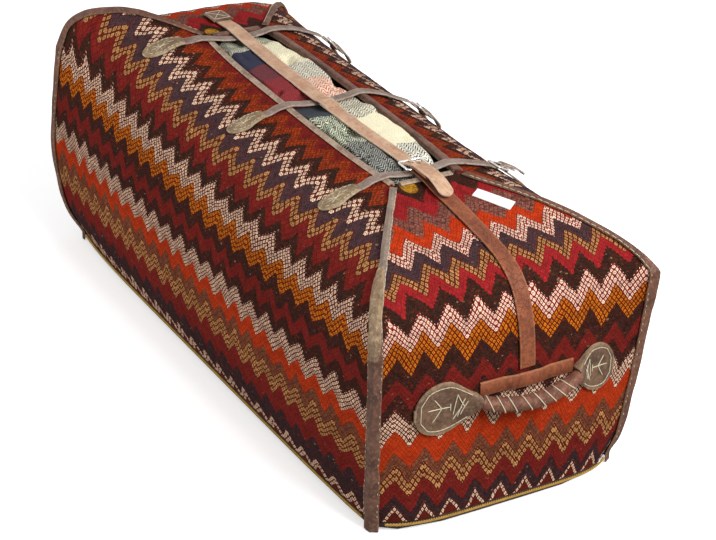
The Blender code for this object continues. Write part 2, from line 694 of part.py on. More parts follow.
def blanket(name, span, colour):
    """One crowned fold of blanket lying in the mouth on the bedding."""
    half = MOUTH_HALF_LENGTH - BLANKET_SET_IN
    centre_y, width = 0.5 * (span[0] + span[1]), span[1] - span[0]
    bottom = BEDDING_TOP + SEAM_GAP
    top = MOUTH_HEIGHT + STRAP_RISE - CROSS_STRAP_DIP - BLANKET_CLEARANCE
    sections = []
    for share in (-1, -0.95, -0.70, -0.3, 0.1, 0.5, 0.85, 1):
        swell = 1 - 0.35 * abs(share) ** 6
        x = share * half
        ring = []
        for a in np.linspace(0, 2 * math.pi, 11)[:-1]:
            y = centre_y + width / 2 * swell * np.sign(math.cos(a)) * abs(math.cos(a)) ** 0.6
            lift = 0.5 + 0.5 * np.sign(math.sin(a)) * abs(math.sin(a)) ** 0.6
            wave = BLANKET_CROWN * 0.3 * math.sin(9 * share + 40 * centre_y)
            height = (top - BLANKET_CROWN * 0.3 + wave - bottom) * (0.86 + 0.14 * swell)
            ring.append((x, y, bottom + lift * height))
        sections.append(ring)
    return add_object(name, sweep(sections), material(name, colour, 0.95), 60)


def ribbon(name, path, across, normals, width, thickness, mat):
    """A flat strap: centre points of its underside, with its width and upward directions."""
    sections = []
    for spot, side, up in zip(path, across, normals):
        side, up = np.asarray(side) * width / 2, np.asarray(up) * thickness
        sections.append([spot - side, spot + side, spot + side * 0.96 + up, spot - side * 0.96 + up])
    return add_object(name, sweep(sections), mat, 40)


def path_frames(path, hints):
    """Width and upward directions along a strap, its width kept near the given directions."""
    path = [np.asarray(p, float) for p in path]
    across, ups = [], []
    for i in range(len(path)):
        run = unit(path[min(i + 1, len(path) - 1)] - path[max(i - 1, 0)])
        side = unit(np.asarray(hints[i]) - run * np.dot(hints[i], run))
        across.append(side)
        ups.append(unit(np.cross(run, side)))
    return across, ups


def cut_slot(obj, centre, along, across, up, size, depth=0.02):
    """A slot through a strap for the prong, cut with a hidden box."""
    bm = bmesh.new()
    bmesh.ops.create_cube(bm, size=1)
    mesh = bpy.data.meshes.new(obj.name + "_slot")
    bm.to_mesh(mesh)
    bm.free()
    cutter = bpy.data.objects.new(obj.name + "_slot", mesh)
    bpy.context.collection.objects.link(cutter)
    axes = Matrix((along * size[0], across * size[1], up * depth)).transposed().to_4x4()
    cutter.matrix_world = Matrix.Translation(Vector(centre)) @ axes
    cutter.hide_render = True
    cutter.display_type = "WIRE"
    cut = obj.modifiers.new("slot", "BOOLEAN")
    cut.operation = "DIFFERENCE"
    cut.object = cutter


def wire_ring(size, radius, corner, sides=5):
    """A rounded rectangle of wire, lying flat, as a closed sweep."""
    long_half, wide_half = size[0] / 2, size[1] / 2
    path = []
    for cx, cy, start in ((1, 1, 0), (-1, 1, 90), (-1, -1, 180), (1, -1, 270)):
        for turn in (0, 45, 90):
            a = math.radians(start + turn)
            path.append(((long_half - corner) * cx + corner * math.cos(a),
                         (wide_half - corner) * cy + corner * math.sin(a)))
    sections = []
    for i, (x, y) in enumerate(path):
        ahead, behind = path[(i + 1) % len(path)], path[i - 1]
        run = unit((ahead[0] - behind[0], ahead[1] - behind[1]))
        out = np.array([run[1], -run[0], 0])
        sections.append([np.array([x, y, 0]) + radius * (out * math.cos(a)
                                                         + np.array([0, 0, math.sin(a)]))
                         for a in np.linspace(0, 2 * math.pi, sides + 1)[:-1]])
    return sweep(sections, closed=True)


def prong_mesh(reach):
    """A tongue of wire with its eye round the heel bar, which lies on the local Y axis."""
    eye = WIRE_RADIUS + SEAM_GAP + PRONG_RADIUS
    path = []
    for a in np.linspace(math.radians(-150), math.radians(90), 7):
        path.append((eye * math.cos(a), eye * math.sin(a)))
    path += [(-0.35 * reach, eye), (-0.7 * reach, eye), (-reach - PRONG_OVERHANG, eye)]
    sections = []
    for i, (x, z) in enumerate(path):
        ahead, behind = path[min(i + 1, len(path) - 1)], path[max(i - 1, 0)]
        run = unit((ahead[0] - behind[0], ahead[1] - behind[1]))
        out = np.array([-run[1], 0, run[0]])
        sections.append([np.array([x, 0, z]) + PRONG_RADIUS * (out * math.cos(a)
                                                               + np.array([0, math.sin(a), 0]))
                         for a in np.linspace(0, 2 * math.pi, 5)[:-1]])
    return sweep(sections)


def place_local(obj, origin, along, across, up):
    axes = Matrix((Vector(along), Vector(across), Vector(up))).transposed().to_4x4()
    obj.matrix_world = Matrix.Translation(Vector(origin)) @ axes


class Buckle:
    """Where a buckle sits: its heel bar, and the directions along, across and up."""

    def __init__(self, name, size, heel, along, up, strap_thickness):
        self.name = name
        self.size = size
        self.along = unit(along)
        self.up = unit(np.asarray(up) - self.along * np.dot(up, self.along))
        self.across = np.cross(self.up, self.along)
        self.heel = np.asarray(heel, float)
        self.thickness = strap_thickness

    def spot(self, along, up):
        return self.heel + self.along * along + self.up * up


def build_buckle(buckle):
    nickel = material("nickel", NICKEL, 0.32, 0.9)
    ring = wire_ring(buckle.size, WIRE_RADIUS, WIRE_CORNER)
    frame = add_object(buckle.name + "_buckle_frame", ring, nickel, 50)
    place_local(frame, buckle.spot(-buckle.size[0] / 2, 0), buckle.along, buckle.across, buckle.up)
    prong = add_object(buckle.name + "_buckle_prong", prong_mesh(buckle.size[0]), nickel, 50)
    place_local(prong, buckle.heel, buckle.along, buckle.across, buckle.up)


def buckle_layers(buckle):
    """Heights over the heel bar's centre: under it, over it, and over the prong's eye."""
    under = -WIRE_RADIUS - SEAM_GAP - buckle.thickness
    over = WIRE_RADIUS + SEAM_GAP
    eye = WIRE_RADIUS + 2 * SEAM_GAP + 2 * PRONG_RADIUS + 0.0002
    return under, over, max(eye, over + buckle.thickness + SEAM_GAP)


def build_chape(name, buckle, tail, mat, width, fold_back):
    """A strap folded round the heel bar: its tail runs off below, the fold lies back on top."""
    inner = WIRE_RADIUS + SEAM_GAP
    t = buckle.thickness
    path = [buckle.spot(fold_back, inner - 0.0002), buckle.spot(fold_back * 0.5, inner)]
    ups = [buckle.up, buckle.up]
    for a in np.linspace(math.radians(90), math.radians(270), 6):
        path.append(buckle.spot(-abs(math.cos(a)) * inner, math.sin(a) * inner))
        ups.append(unit(-buckle.along * abs(math.cos(a)) + buckle.up * math.sin(a)))
    sections = []
    side = buckle.across * width / 2
    for spot, up in zip(path, ups):
        sections.append([spot - side, spot + side, spot + side * 0.96 + up * t,
                         spot - side * 0.96 + up * t])
    for point, up in tail:
        point, up = np.asarray(point), np.asarray(up)
        # the tail's upper face is the bag-side continuation of the fold's inner face
        sections.append([point + up * t - side, point + up * t + side, point + side * 0.96,
                         point - side * 0.96])
    obj = add_object(name, sweep(sections), mat, 40)
    cut_slot(obj, buckle.spot(-0.001, 0), buckle.along, buckle.across, buckle.up,
             (0.016, PRONG_HOLE_WIDTH), 0.016)


def cross_strap(index):
    """One cross strap with its buckle and chape on the back flap and its tab on the front."""
    name = CROSS_STRAP_NAMES[index]
    x0 = CROSS_STRAP_X[index]
    grey = material("grey_strap_leather", LEATHERS["grey_strap"], 0.6)
    t = CROSS_STRAP_THICKNESS
    lies = PANEL_CLEARANCE + RIDGE_HEIGHT / 2
    rise = STRAP_RISE
    drop = CROSS_BUCKLE_DROP[index]
    height = BACK.height

    def slanted(v):
        return x0 - CROSS_STRAP_SLANT * min(1.0, max(0.0, (height - v) / 0.11))

    heel_v = height - drop
    x_heel = slanted(heel_v)
    along = BACK.point(slanted(heel_v - 0.012), heel_v - 0.012)
    along = along - BACK.point(slanted(heel_v + 0.012), heel_v + 0.012)
    normal = BACK.normal(x_heel, heel_v)
    stack = lies + t + SEAM_GAP + WIRE_RADIUS
    heel = BACK.above(x_heel, heel_v, stack + CROSS_BUCKLE_LIFT)
    buckle = Buckle("cross_" + name, CROSS_BUCKLE_SIZE, heel, along, normal, t)
    build_buckle(buckle)
    under, over, eye = buckle_layers(buckle)

    # the chape's tail is sewn flat to the back flap below the buckle
    tail = [(buckle.spot(0.006, under), buckle.up)]
    for share in (0.25, 0.47, 0.73, 1):
        v = heel_v - share * CROSS_CHAPE_TAIL
        tail.append((BACK.above(slanted(v), v, lies), BACK.normal(slanted(v), v)))
    build_chape("cross_" + name + "_chape", buckle, tail, grey, CROSS_STRAP_WIDTH, 0.018)

    # the strap comes from its leaf tab, over the rims and the mouth, and through the buckle
    root_v = height - LEAF_TAB_ROOT - 0.24 * LEAF_TAB_LENGTH
    near_v = height - RIM_WIDTH - 0.004
    path, hints = [], []
    for v in (*np.linspace(root_v, height - CROSS_ROOT_END, 3), near_v):
        path.append(FRONT.above(slanted(v), v, rise if v == near_v else lies))
        hints.append(-FRONT.level(slanted(v), v))
    spread = abs(FRONT.point(x0, height)[1])
    for share in (-1, -0.72, -0.3, 0.3, 0.72, 1):
        dip = CROSS_STRAP_DIP * (1 - share ** 2)
        path.append(np.array([x0, share * (spread - 0.004), MOUTH_HEIGHT + rise - dip]))
        hints.append((-1, 0, 0))
    heel_gap = buckle.size[0]
    path.append(BACK.above(slanted(near_v), near_v, rise))
    hints.append(-BACK.level(slanted(near_v), near_v))
    for share in np.linspace(0, 1, 4 if drop > 0.12 else 2)[1:-1]:
        v = near_v + (heel_v + heel_gap + 0.014 - near_v) * share
        path.append(BACK.above(slanted(v), v, lies + (rise - lies) * (1 - share)))
        hints.append(-BACK.level(slanted(v), v))
    path += [buckle.spot(-heel_gap - 0.012, under), buckle.spot(-heel_gap + 0.003, under),
             buckle.spot(-0.40 * heel_gap, 0.45 * eye + 0.55 * under),
             buckle.spot(-0.004, eye), buckle.spot(0.008, eye), buckle.spot(0.020, eye),
             buckle.spot(0.034, over + t + SEAM_GAP), buckle.spot(0.048, over - 0.001)]
    width_way = -buckle.across if buckle.across[0] > 0 else buckle.across
    hints += [width_way] * (len(path) - len(hints))
    across, ups = path_frames(path, hints)
    strap = ribbon("cross_strap_" + name, path, across, ups, CROSS_STRAP_WIDTH * 0.94, t, grey)
    mid = buckle.spot(-0.39 * heel_gap, 0.5 * eye + 0.5 * under)
    cut_slot(strap, mid, buckle.along, buckle.across, buckle.up,
             (0.74 * heel_gap, PRONG_HOLE_WIDTH), 0.02)
    leaf_tab(name, slanted, height)


def leaf_tab(name, slanted, height):
    """Leaf-shaped patch sewn over the strap's root on the front flap."""
    t = PATCH_THICKNESS
    low = PANEL_CLEARANCE + RIDGE_HEIGHT / 2
    over_strap = low + CROSS_STRAP_THICKNESS + 3 * SEAM_GAP
    sections = []
    for share in (0, 0.05, 0.18, 0.36, 0.5, 0.62, 0.82, 1):
        v = height - LEAF_TAB_ROOT - LEAF_TAB_LENGTH * (1 - share)
        half = LEAF_TAB_WIDTH / 2 * leaf_width(share)
        blend = min(1.0, max(0.0, (share - 0.50) / 0.12))
        base = low + (over_strap - low) * blend
        x = slanted(min(v, height))
        centre = FRONT.above(x, v, base)
        up = FRONT.normal(x, v)
        side = unit(FRONT.point(x + 0.01, v) - FRONT.point(x - 0.01, v)) * half
        sections.append([centre - side, centre + side, centre + side * 0.9 + up * t,
                         centre - side * 0.9 + up * t])
    add_object("leaf_tab_" + name, sweep(sections),
               material("patch_leather", LEATHERS["patch"], 0.65), 40)


def leaf_width(share):
    """Half-width of a leaf from its round end (0) to its neck (1), as a share."""
    round_end = math.sqrt(max(0.0, 1 - (1 - min(1.0, share / 0.42)) ** 2))
    taper = 1 - 0.42 * max(0.0, (share - 0.42) / 0.58) ** 1.5
    return max(0.30, round_end * taper)


def long_strap():
    """Pale strap from the far flap over the mouth, buckled to the red strap at the near end."""
    t = LONG_STRAP_THICKNESS
    pale = material("pale_strap_leather", LEATHERS["pale_strap"], 0.55)
    red = material("red_strap_leather", LEATHERS["red_strap"], 0.5)
    patch = material("patch_leather", LEATHERS["patch"], 0.65)
    rim_top = MOUTH_HEIGHT + STRAP_RISE
    level = rim_top - CROSS_STRAP_DIP * 0.5 + CROSS_STRAP_THICKNESS + SEAM_GAP
    heel = (LONG_BUCKLE_X + LONG_BUCKLE_SIZE[0] / 2, 0, level + t + SEAM_GAP + WIRE_RADIUS)
    buckle = Buckle("long", LONG_BUCKLE_SIZE, heel, (1, 0, 0), (0, 0, 1), t)
    build_buckle(buckle)
    under, over, eye = buckle_layers(buckle)

    # red strap: folded round the heel bar, down the near flap and wall to behind the handle
    low = PANEL_CLEARANCE + RIDGE_HEIGHT / 2
    height = RIGHT.height
    stop_v = NECK_HEIGHT + 0.014
    tail = [(buckle.spot(0.010, under), buckle.up),
            (np.array([MOUTH_HALF_LENGTH + 0.014, 0, level - 0.0008]), np.array([0, 0, 1]))]
    for v in np.linspace(height - 0.040, stop_v, 13):
        s = LONG_STRAP_LEAN * (height - v) / (height - stop_v)
        tail.append((RIGHT.above(s, v, low), RIGHT.normal(s, v)))
    build_chape("long_strap_lower", buckle, tail, red, LONG_STRAP_WIDTH, 0.040)

    # second length of the pale strap: spliced on over the mouth, through the buckle
    length = buckle.size[0]
    run = LONG_BUCKLE_X - SPLICE_X
    path = [np.array([SPLICE_X - SPLICE_LAP, -LONG_STRAP_DRIFT, level])]
    for share, drift in ((0.27, 0.88), (0.56, 0.5), (0.82, 0)):
        path.append(np.array([SPLICE_X + share * run, -drift * LONG_STRAP_DRIFT, level]))
    path += [buckle.spot(-length - 0.006, under), buckle.spot(-length + 0.003, under),
             buckle.spot(-0.45 * length, 0.45 * eye + 0.55 * under),
             buckle.spot(-0.004, eye), buckle.spot(0.012, eye), buckle.spot(0.046, eye),
             buckle.spot(0.062, over - 0.0005), buckle.spot(0.088, over - 0.012)]
    across, ups = path_frames(path, [(0, 1, 0)] * len(path))
    tongue = ribbon("long_strap_tongue", path, across, ups, LONG_STRAP_WIDTH * 0.94, t, pale)
    cut_slot(tongue, buckle.spot(-0.39 * length, 0.5 * eye + 0.5 * under), buckle.along,
             buckle.across, buckle.up, (0.74 * length, PRONG_HOLE_WIDTH), 0.02)

    # first length: sewn under the tab on the far flap, over the mouth to the splice
    top_v = LEFT.height - SQUARE_TAB_ROOT
    root_v = top_v - 2 / 3 * SQUARE_TAB_LENGTH
    path = [LEFT.above(0, v, low) for v in np.linspace(root_v, top_v + 0.002, 3)]
    path.append(np.array([-MOUTH_HALF_LENGTH - 0.012, 0, level]))
    for share, drift in ((0.84, 0.4), (0.50, 0.88), (0.19, 1)):
        path.append(np.array([-share * MOUTH_HALF_LENGTH, -drift * LONG_STRAP_DRIFT, level]))
    path.append(np.array([SPLICE_X - SPLICE_LAP - 0.018, -LONG_STRAP_DRIFT, level]))
    lap = level + t + SEAM_GAP
    path += [np.array([SPLICE_X - SPLICE_LAP - 0.006, -LONG_STRAP_DRIFT, lap]),
             np.array([SPLICE_X, -LONG_STRAP_DRIFT, lap])]
    across, ups = path_frames(path, [(0, 1, 0)] * len(path))
    ribbon("long_strap_upper", path, across, ups, LONG_STRAP_WIDTH, t, pale)

    # square tab that holds the strap's root
    sections = []
    side = np.array([0, SQUARE_TAB_WIDTH / 2, 0])
    for v in np.linspace(top_v - SQUARE_TAB_LENGTH, top_v, 6):
        lift = low + (t + SEAM_GAP if v > root_v - 0.010 else 0)
        centre, up = LEFT.above(0, v, lift), LEFT.normal(0, v) * SQUARE_TAB_THICKNESS
        sections.append([centre - side, centre + side, centre + side * 0.95 + up,
                         centre - side * 0.95 + up])
    add_object("long_strap_tab", sweep(sections), patch, 40)


def build_handle(panel, side_name):
    """Rolled grip on its two sewn leaf patches, with the base strip behind it."""
    turn = panel.sign
    grip_leather = material("grip_leather", LEATHERS["grip"], 0.5)
    patch = material("patch_leather", LEATHERS["patch"], 0.65)
    middle_y = turn * HANDLE_SHIFT
    wall = abs(panel.point(0, NECK_HEIGHT - TRAY_HEIGHT)[0])
    neck_x = wall + NECK_STAND_OFF

    # grip: bows down and away from the wall between the necks
    sections = []
    count = 10
    for j in range(count + 1):
        share = 2 * j / count - 1
        bow = 1 - share ** 2
        centre = np.array([turn * (neck_x + GRIP_STAND_OFF * bow),
                           middle_y + share * NECK_SPREAD, NECK_HEIGHT - GRIP_SAG * bow])
        run = unit((turn * -2 * share * GRIP_STAND_OFF / NECK_SPREAD, 1,
                    2 * share * GRIP_SAG / NECK_SPREAD))
        if j in (0, count):
            run = np.array([0, 1, 0])
        radius = GRIP_RADIUS * (0.78 + 0.22 * bow ** 0.5)
        out = unit(np.cross(run, (0, 0, 1)))
        up = np.cross(out, run)
        sections.append([centre + radius * (out * math.cos(a) + up * math.sin(a))
                         for a in np.linspace(0, 2 * math.pi, 9)[:-1]])
    grip = add_object(side_name + "_handle_grip", sweep(sections), grip_leather, 50)
    hinge = Vector((turn * neck_x, middle_y, NECK_HEIGHT))
    grip.data.transform(Matrix.Translation(-hinge))
    grip.location = hinge

    # leaf patches: flat and sewn down at the outer end, rising to a round neck at the grip
    low = SEWN_CLEARANCE + RIDGE_HEIGHT / 2
    for outward, length, width, tag in LEAF_PATCHES:
        label = tag if turn > 0 else {"front": "back", "back": "front"}[tag]
        sections = []
        for share in (0, 0.06, 0.22, 0.45, 0.62, 0.75, 0.88, 1):
            y = middle_y + turn * outward * (NECK_SPREAD + SEAM_GAP + length * (1 - share))
            half = max(width / 2 * leaf_width(share), GRIP_RADIUS * 0.78)
            rise = max(0.0, (share - 0.55) / 0.45) ** 1.6
            half = half + (GRIP_RADIUS * NECK_SHARE - half) * rise
            v = NECK_HEIGHT - TRAY_HEIGHT
            section, ring = [], []
            for a in np.linspace(0, math.pi, 5):
                h = half * math.cos(a)
                foot_v = v + h - 0.004 * (1 - share)
                foot = panel.above(y, foot_v, low)
                up = panel.normal(y, foot_v)
                flat_top = PATCH_THICKNESS * min(1.0, math.sin(a) * 4)
                neck_top = NECK_STAND_OFF - low + GRIP_RADIUS * NECK_SHARE * math.sin(a)
                crest = foot + up * max(0.0006, flat_top + (neck_top - flat_top) * rise)
                foot[1] = crest[1] = y
                section.append(foot)
                ring.append(crest)
            sections.append(section + ring[::-1])
        add_object(side_name + "_leaf_patch_" + label, sweep(sections), patch, 40)

    # base strip behind the grip, standing over the end of the long strap
    sections = []
    over = PANEL_CLEARANCE - SEWN_CLEARANCE + LONG_STRAP_THICKNESS + 2 * SEAM_GAP
    strap_end = over if turn > 0 else 0.0
    for share in np.linspace(-1, 1, 9):
        y = middle_y + turn * share * (NECK_SPREAD - 0.006)
        cover = strap_end * min(1.0, max(0.0, 2.3 - abs(y - 0.016) / 0.018))
        foot_v = NECK_HEIGHT - TRAY_HEIGHT + BASE_STRIP_RISE
        lower = panel.above(y, foot_v, low + cover)
        upper = panel.above(y, foot_v + BASE_STRIP_WIDTH, low + cover)
        out = panel.normal(y, NECK_HEIGHT) * PATCH_THICKNESS
        sections.append([lower, upper, upper + out, lower + out])
    add_object(side_name + "_handle_base", sweep(sections),
               material("red_strap_leather", LEATHERS["red_strap"], 0.5), 40)


def cloth_tag():
    """Small blank cloth tag pinned on the near flap."""
    low = SEWN_CLEARANCE + RIDGE_HEIGHT / 2
    ds, dv = 0.2 * TAG_RUN[0], 0.2 * TAG_RUN[1]
    sections = []
    for share in (0, 0.33, 0.66, 1):
        v = RIGHT.height - TAG_TOP[1] - TAG_RUN[1] * share
        s = TAG_TOP[0] + TAG_RUN[0] * share
        centre, up = RIGHT.above(s, v, low), RIGHT.normal(s, v)
        run = unit(RIGHT.point(s + ds, v - dv) - RIGHT.point(s - ds, v + dv))
        side = np.cross(up, run) * TAG_WIDTH / 2
        top = up * TAG_THICKNESS
        sections.append([centre - side, centre + side, centre + side + top, centre - side + top])
    add_object("cloth_tag", sweep(sections), material("tag_cloth", CLOTHS["tag"], 0.9))


def settled(spot):
    """The filled bag has sagged: its top slopes down from the far end to the near end."""
    return Vector((spot.x, spot.y, spot.z - SAG * spot.x * (spot.z / MOUTH_HEIGHT) ** 2))


def settle_everything():
    bpy.context.view_layer.update()
    for obj in bpy.data.objects:
        before = obj.matrix_world.copy()
        after = before.copy()
        after.translation = settled(before.translation)
        back = after.inverted()
        for vert in obj.data.vertices:
            vert.co = back @ settled(before @ vert.co)
        obj.matrix_world = after


def build_bag():
    clear_scene()
    for panel in (FRONT, BACK, RIGHT, LEFT):
        build_panel(panel)
    build_tray()
    for label, corner in (("front_right", (1, -1)), ("back_right", (1, 1)),
                          ("back_left", (-1, 1)), ("front_left", (-1, -1))):
        corner_strip("corner_binding_" + label, corner)
    for label, panel in (("front", FRONT), ("back", BACK), ("right", RIGHT), ("left", LEFT)):
        rim_strip("rim_binding_" + label, panel)
        base_cord("base_cord_" + label, panel)
    build_bedding()
    blanket("blanket_dark", DARK_BLANKET_SPAN, CLOTHS["dark_blanket"])
    blanket("blanket_cream", CREAM_BLANKET_SPAN, CLOTHS["cream_blanket"])
    for index in range(len(CROSS_STRAP_X)):
        cross_strap(index)
    long_strap()
    build_handle(RIGHT, "right")
    build_handle(LEFT, "left")
    cloth_tag()
    settle_everything()


build_bag()
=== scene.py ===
# Kilim bedding bag: woven walls, leather binding, straps, handles and the blankets inside.
import math

import bmesh
import bpy
import numpy as np
from mathutils import Matrix, Vector


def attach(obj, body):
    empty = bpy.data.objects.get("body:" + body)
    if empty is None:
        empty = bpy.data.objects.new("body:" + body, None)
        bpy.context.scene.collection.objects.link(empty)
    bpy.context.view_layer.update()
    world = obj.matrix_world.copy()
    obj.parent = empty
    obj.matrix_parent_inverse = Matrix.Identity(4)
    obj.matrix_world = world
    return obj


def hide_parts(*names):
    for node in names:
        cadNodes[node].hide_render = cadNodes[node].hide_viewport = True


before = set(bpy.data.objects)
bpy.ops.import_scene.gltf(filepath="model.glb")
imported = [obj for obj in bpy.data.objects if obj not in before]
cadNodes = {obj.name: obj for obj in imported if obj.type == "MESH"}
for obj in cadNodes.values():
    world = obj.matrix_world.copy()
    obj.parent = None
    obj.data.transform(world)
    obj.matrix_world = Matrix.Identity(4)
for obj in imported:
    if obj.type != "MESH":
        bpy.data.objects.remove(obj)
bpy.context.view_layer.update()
print("frame loaded,", len(cadNodes), "nodes")

photo = {"azimuth": 59.536, "elevation": 27.137, "distance": 3.539, "roll": 1.724,
         "target": (0.037, 0.053, 0.137), "focus": 2063.03, "pixels": 716, "sensor": 36.0}


def addObject(name, data):
    obj = bpy.data.objects.new(name, data)
    bpy.context.collection.objects.link(obj)
    return obj


def addCamera():
    a, e = math.radians(photo["azimuth"]), math.radians(photo["elevation"])
    behind = np.array([math.sin(a) * math.cos(e), -math.cos(a) * math.cos(e), math.sin(e)])
    level = np.array([math.cos(a), math.sin(a), 0.0])
    up = np.cross(behind, level)
    roll = math.radians(photo["roll"])
    level, up = (level * math.cos(roll) + up * math.sin(roll),
                 up * math.cos(roll) - level * math.sin(roll))
    place = np.array(photo["target"]) + behind * photo["distance"]
    camera = bpy.data.cameras.new("photoCamera")
    camera.sensor_width = photo["sensor"]
    camera.sensor_fit = "HORIZONTAL"
    camera.lens = photo["focus"] * photo["sensor"] / photo["pixels"]
    camera.clip_end = 100
    obj = addObject("photoCamera", camera)
    turn = Matrix((level, up, behind)).transposed().to_4x4()
    obj.matrix_world = Matrix.Translation(Vector(place)) @ turn
    bpy.context.scene.camera = obj


addCamera()
print("camera placed")


# shape of the bag

bag = {
    "mouthHalfLength": 0.322, "mouthHalfWidth": 0.056, "mouthHeight": 0.446,
    "mouthSpread": 0.012, "earAngle": math.radians(34.6), "trayHeight": 0.018,
    "sideReach": 0.250, "endReach": 0.597, "sideFoot": 0.224, "endFoot": 0.592,
    "footSquareness": 2.5, "shoulder": 0.322, "sag": 0.028,
    "endLift": {"near": 0.0, "far": 0.030},
    "corners": {  # reach of the ear, its height, foot set-in, swells of the post, puff of the seam
        "near_front": (0.322, 0.357, 0.038, (-0.028, -0.013, -0.005), 0.008),
        "near_back": (0.332, 0.357, 0.052, (-0.034, -0.019, -0.008), 0.012),
        "far_front": (0.311, 0.366, 0.040, (-0.002, 0.021, 0.014), 0.048),
        "far_back": (0.311, 0.360, 0.040, (-0.006, 0.012, 0.008), 0.008)},
}
weave = {
    "period": 0.048, "sideRepeats": 23, "endRepeats": 10, "sideSwing": 0.026, "endSwing": 0.035,
    "sideCell": 0.0094, "endCell": 0.0113,
    "ridge": 0.0012, "pillow": 0.0003, "fade": 0.022, "tooth": 0.75, "line": 0.27,
    "sideDroop": 0.027, "endDroop": 0.010, "droopFrom": 0.17, "droopTo": 0.34,
    "endShift": -0.010, "threads": 700.0, "mostRows": 200.0, "smallLine": 0.15,
}
strapping = {
    "panelClearance": 0.0012, "stripClearance": 0.0030, "sewnClearance": 0.0006, "gap": 0.0003,
    "stripThickness": 0.0032, "rimTop": 0.0028, "rimWidth": 0.013, "panelThickness": 0.004,
    "longWidth": 0.0268, "longThickness": 0.0030, "crossWidth": 0.019, "crossThickness": 0.0026,
    "crossDip": 0.007, "crossSlant": 0.026, "patchThickness": 0.003,
    "wire": 0.0020, "frameBend": 0.004, "prong": 0.0013, "prongOver": 0.0015, "slot": 0.0052,
}
strapping["rise"] = strapping["panelClearance"] + strapping["rimTop"] + 0.0018
lies = strapping["panelClearance"] + weave["ridge"] / 2   # underside of a strap on the cloth


def unit(v):
    v = np.asarray(v, float)
    return v / np.maximum(np.linalg.norm(v, axis=-1, keepdims=True), 1e-12)


def eased(share):
    return share * share * (3 - 2 * share)


def reachOf(points):   # distance along a row of points, from its start
    return np.concatenate([[0], np.cumsum(np.linalg.norm(np.diff(points, axis=0), axis=1))])


def readAt(at, reach, table):   # every column of the table, read at these distances
    return np.stack([np.interp(at, reach, column) for column in np.asarray(table, float).T], -1)


def makeCurve(points, steps=24):
    pts = np.asarray(points, float)
    ends = np.vstack([2 * pts[0] - pts[1], pts, 2 * pts[-1] - pts[-2]])
    samples = []
    for i in range(1, len(ends) - 2):
        a, b, c, d = ends[i - 1], ends[i], ends[i + 1], ends[i + 2]
        for k in np.linspace(0, 1, steps, endpoint=False):
            samples.append(0.5 * (2 * b + (c - a) * k + (2 * a - 5 * b + 4 * c - d) * k ** 2
                                  + (3 * b - a - 3 * c + d) * k ** 3))
    samples.append(ends[-2])
    samples = np.array(samples)
    share = reachOf(samples)
    return {"samples": samples, "share": share / share[-1], "length": share[-1]}


def onCurve(curve, share):
    return readAt(share, curve["share"], curve["samples"])


def cornerSeam(reach, ear, tuck, swell, puff):
    post = makeCurve([(reach - tuck, bag["trayHeight"]), (reach + swell[0], 0.18 * ear),
                      (reach + swell[1], 0.45 * ear), (reach + swell[2], 0.74 * ear),
                      (reach, ear)])
    rise = bag["mouthHeight"] - ear
    top = makeCurve([(reach, ear), (0.92 * reach, ear + 0.12 * rise + 0.80 * puff),
                     (0.76 * reach, ear + 0.38 * rise + puff),
                     (0.45 * reach, ear + 0.72 * rise + 0.80 * puff), (0, bag["mouthHeight"])])
    return post, top


seams = {name: cornerSeam(*shape) for name, shape in bag["corners"].items()}
wallRise = sum(post["length"] for post, _ in seams.values()) / len(seams)


def seamAt(turns, corner):   # 0 at the foot, 1 at the ear, 2 at the mouth
    turns = np.asarray(turns, float)
    post, top = seams[corner]
    return np.where((turns <= 1)[..., None], onCurve(post, turns), onCurve(top, turns - 1))


def seamSpot(turns, corner):
    found = seamAt(turns, corner)
    return (bag["mouthHalfLength"] + found[..., 0] * math.cos(bag["earAngle"]),
            bag["mouthHalfWidth"] + found[..., 0] * math.sin(bag["earAngle"]), found[..., 1])


def endLine(end):
    front, back = seamSpot(1.0, end + "_front"), seamSpot(1.0, end + "_back")
    earX, earZ = 0.5 * (front[0] + back[0]), 0.5 * (front[2] + back[2])
    lift, top = bag["endLift"][end], bag["mouthHeight"]
    low = earZ - 0.028 + 0.9 * lift
    return makeCurve([
        (bag["endFoot"], bag["trayHeight"]), (bag["endReach"] - 0.003, 0.26 * earZ),
        (bag["endReach"], 0.58 * earZ), (earX - 0.006, low),
        (earX - 0.052, low + 0.58 * (top - low) + 0.2 * lift),
        (bag["mouthHalfLength"] + 0.100, top - 0.016 + 0.5 * lift),
        (bag["mouthHalfLength"], top)])


def sideLine():
    reach, top, turn = bag["sideReach"], bag["mouthHeight"], bag["shoulder"]
    return makeCurve([
        (bag["sideFoot"], bag["trayHeight"]), (reach - 0.007, 0.080), (reach - 0.001, 0.135),
        (reach, 0.220), (reach - 0.017, turn), (reach - 0.067, turn + 0.56 * (top - turn)),
        (bag["mouthHalfWidth"] + 0.065, top - 0.018),
        (bag["mouthHalfWidth"] + bag["mouthSpread"], top)])


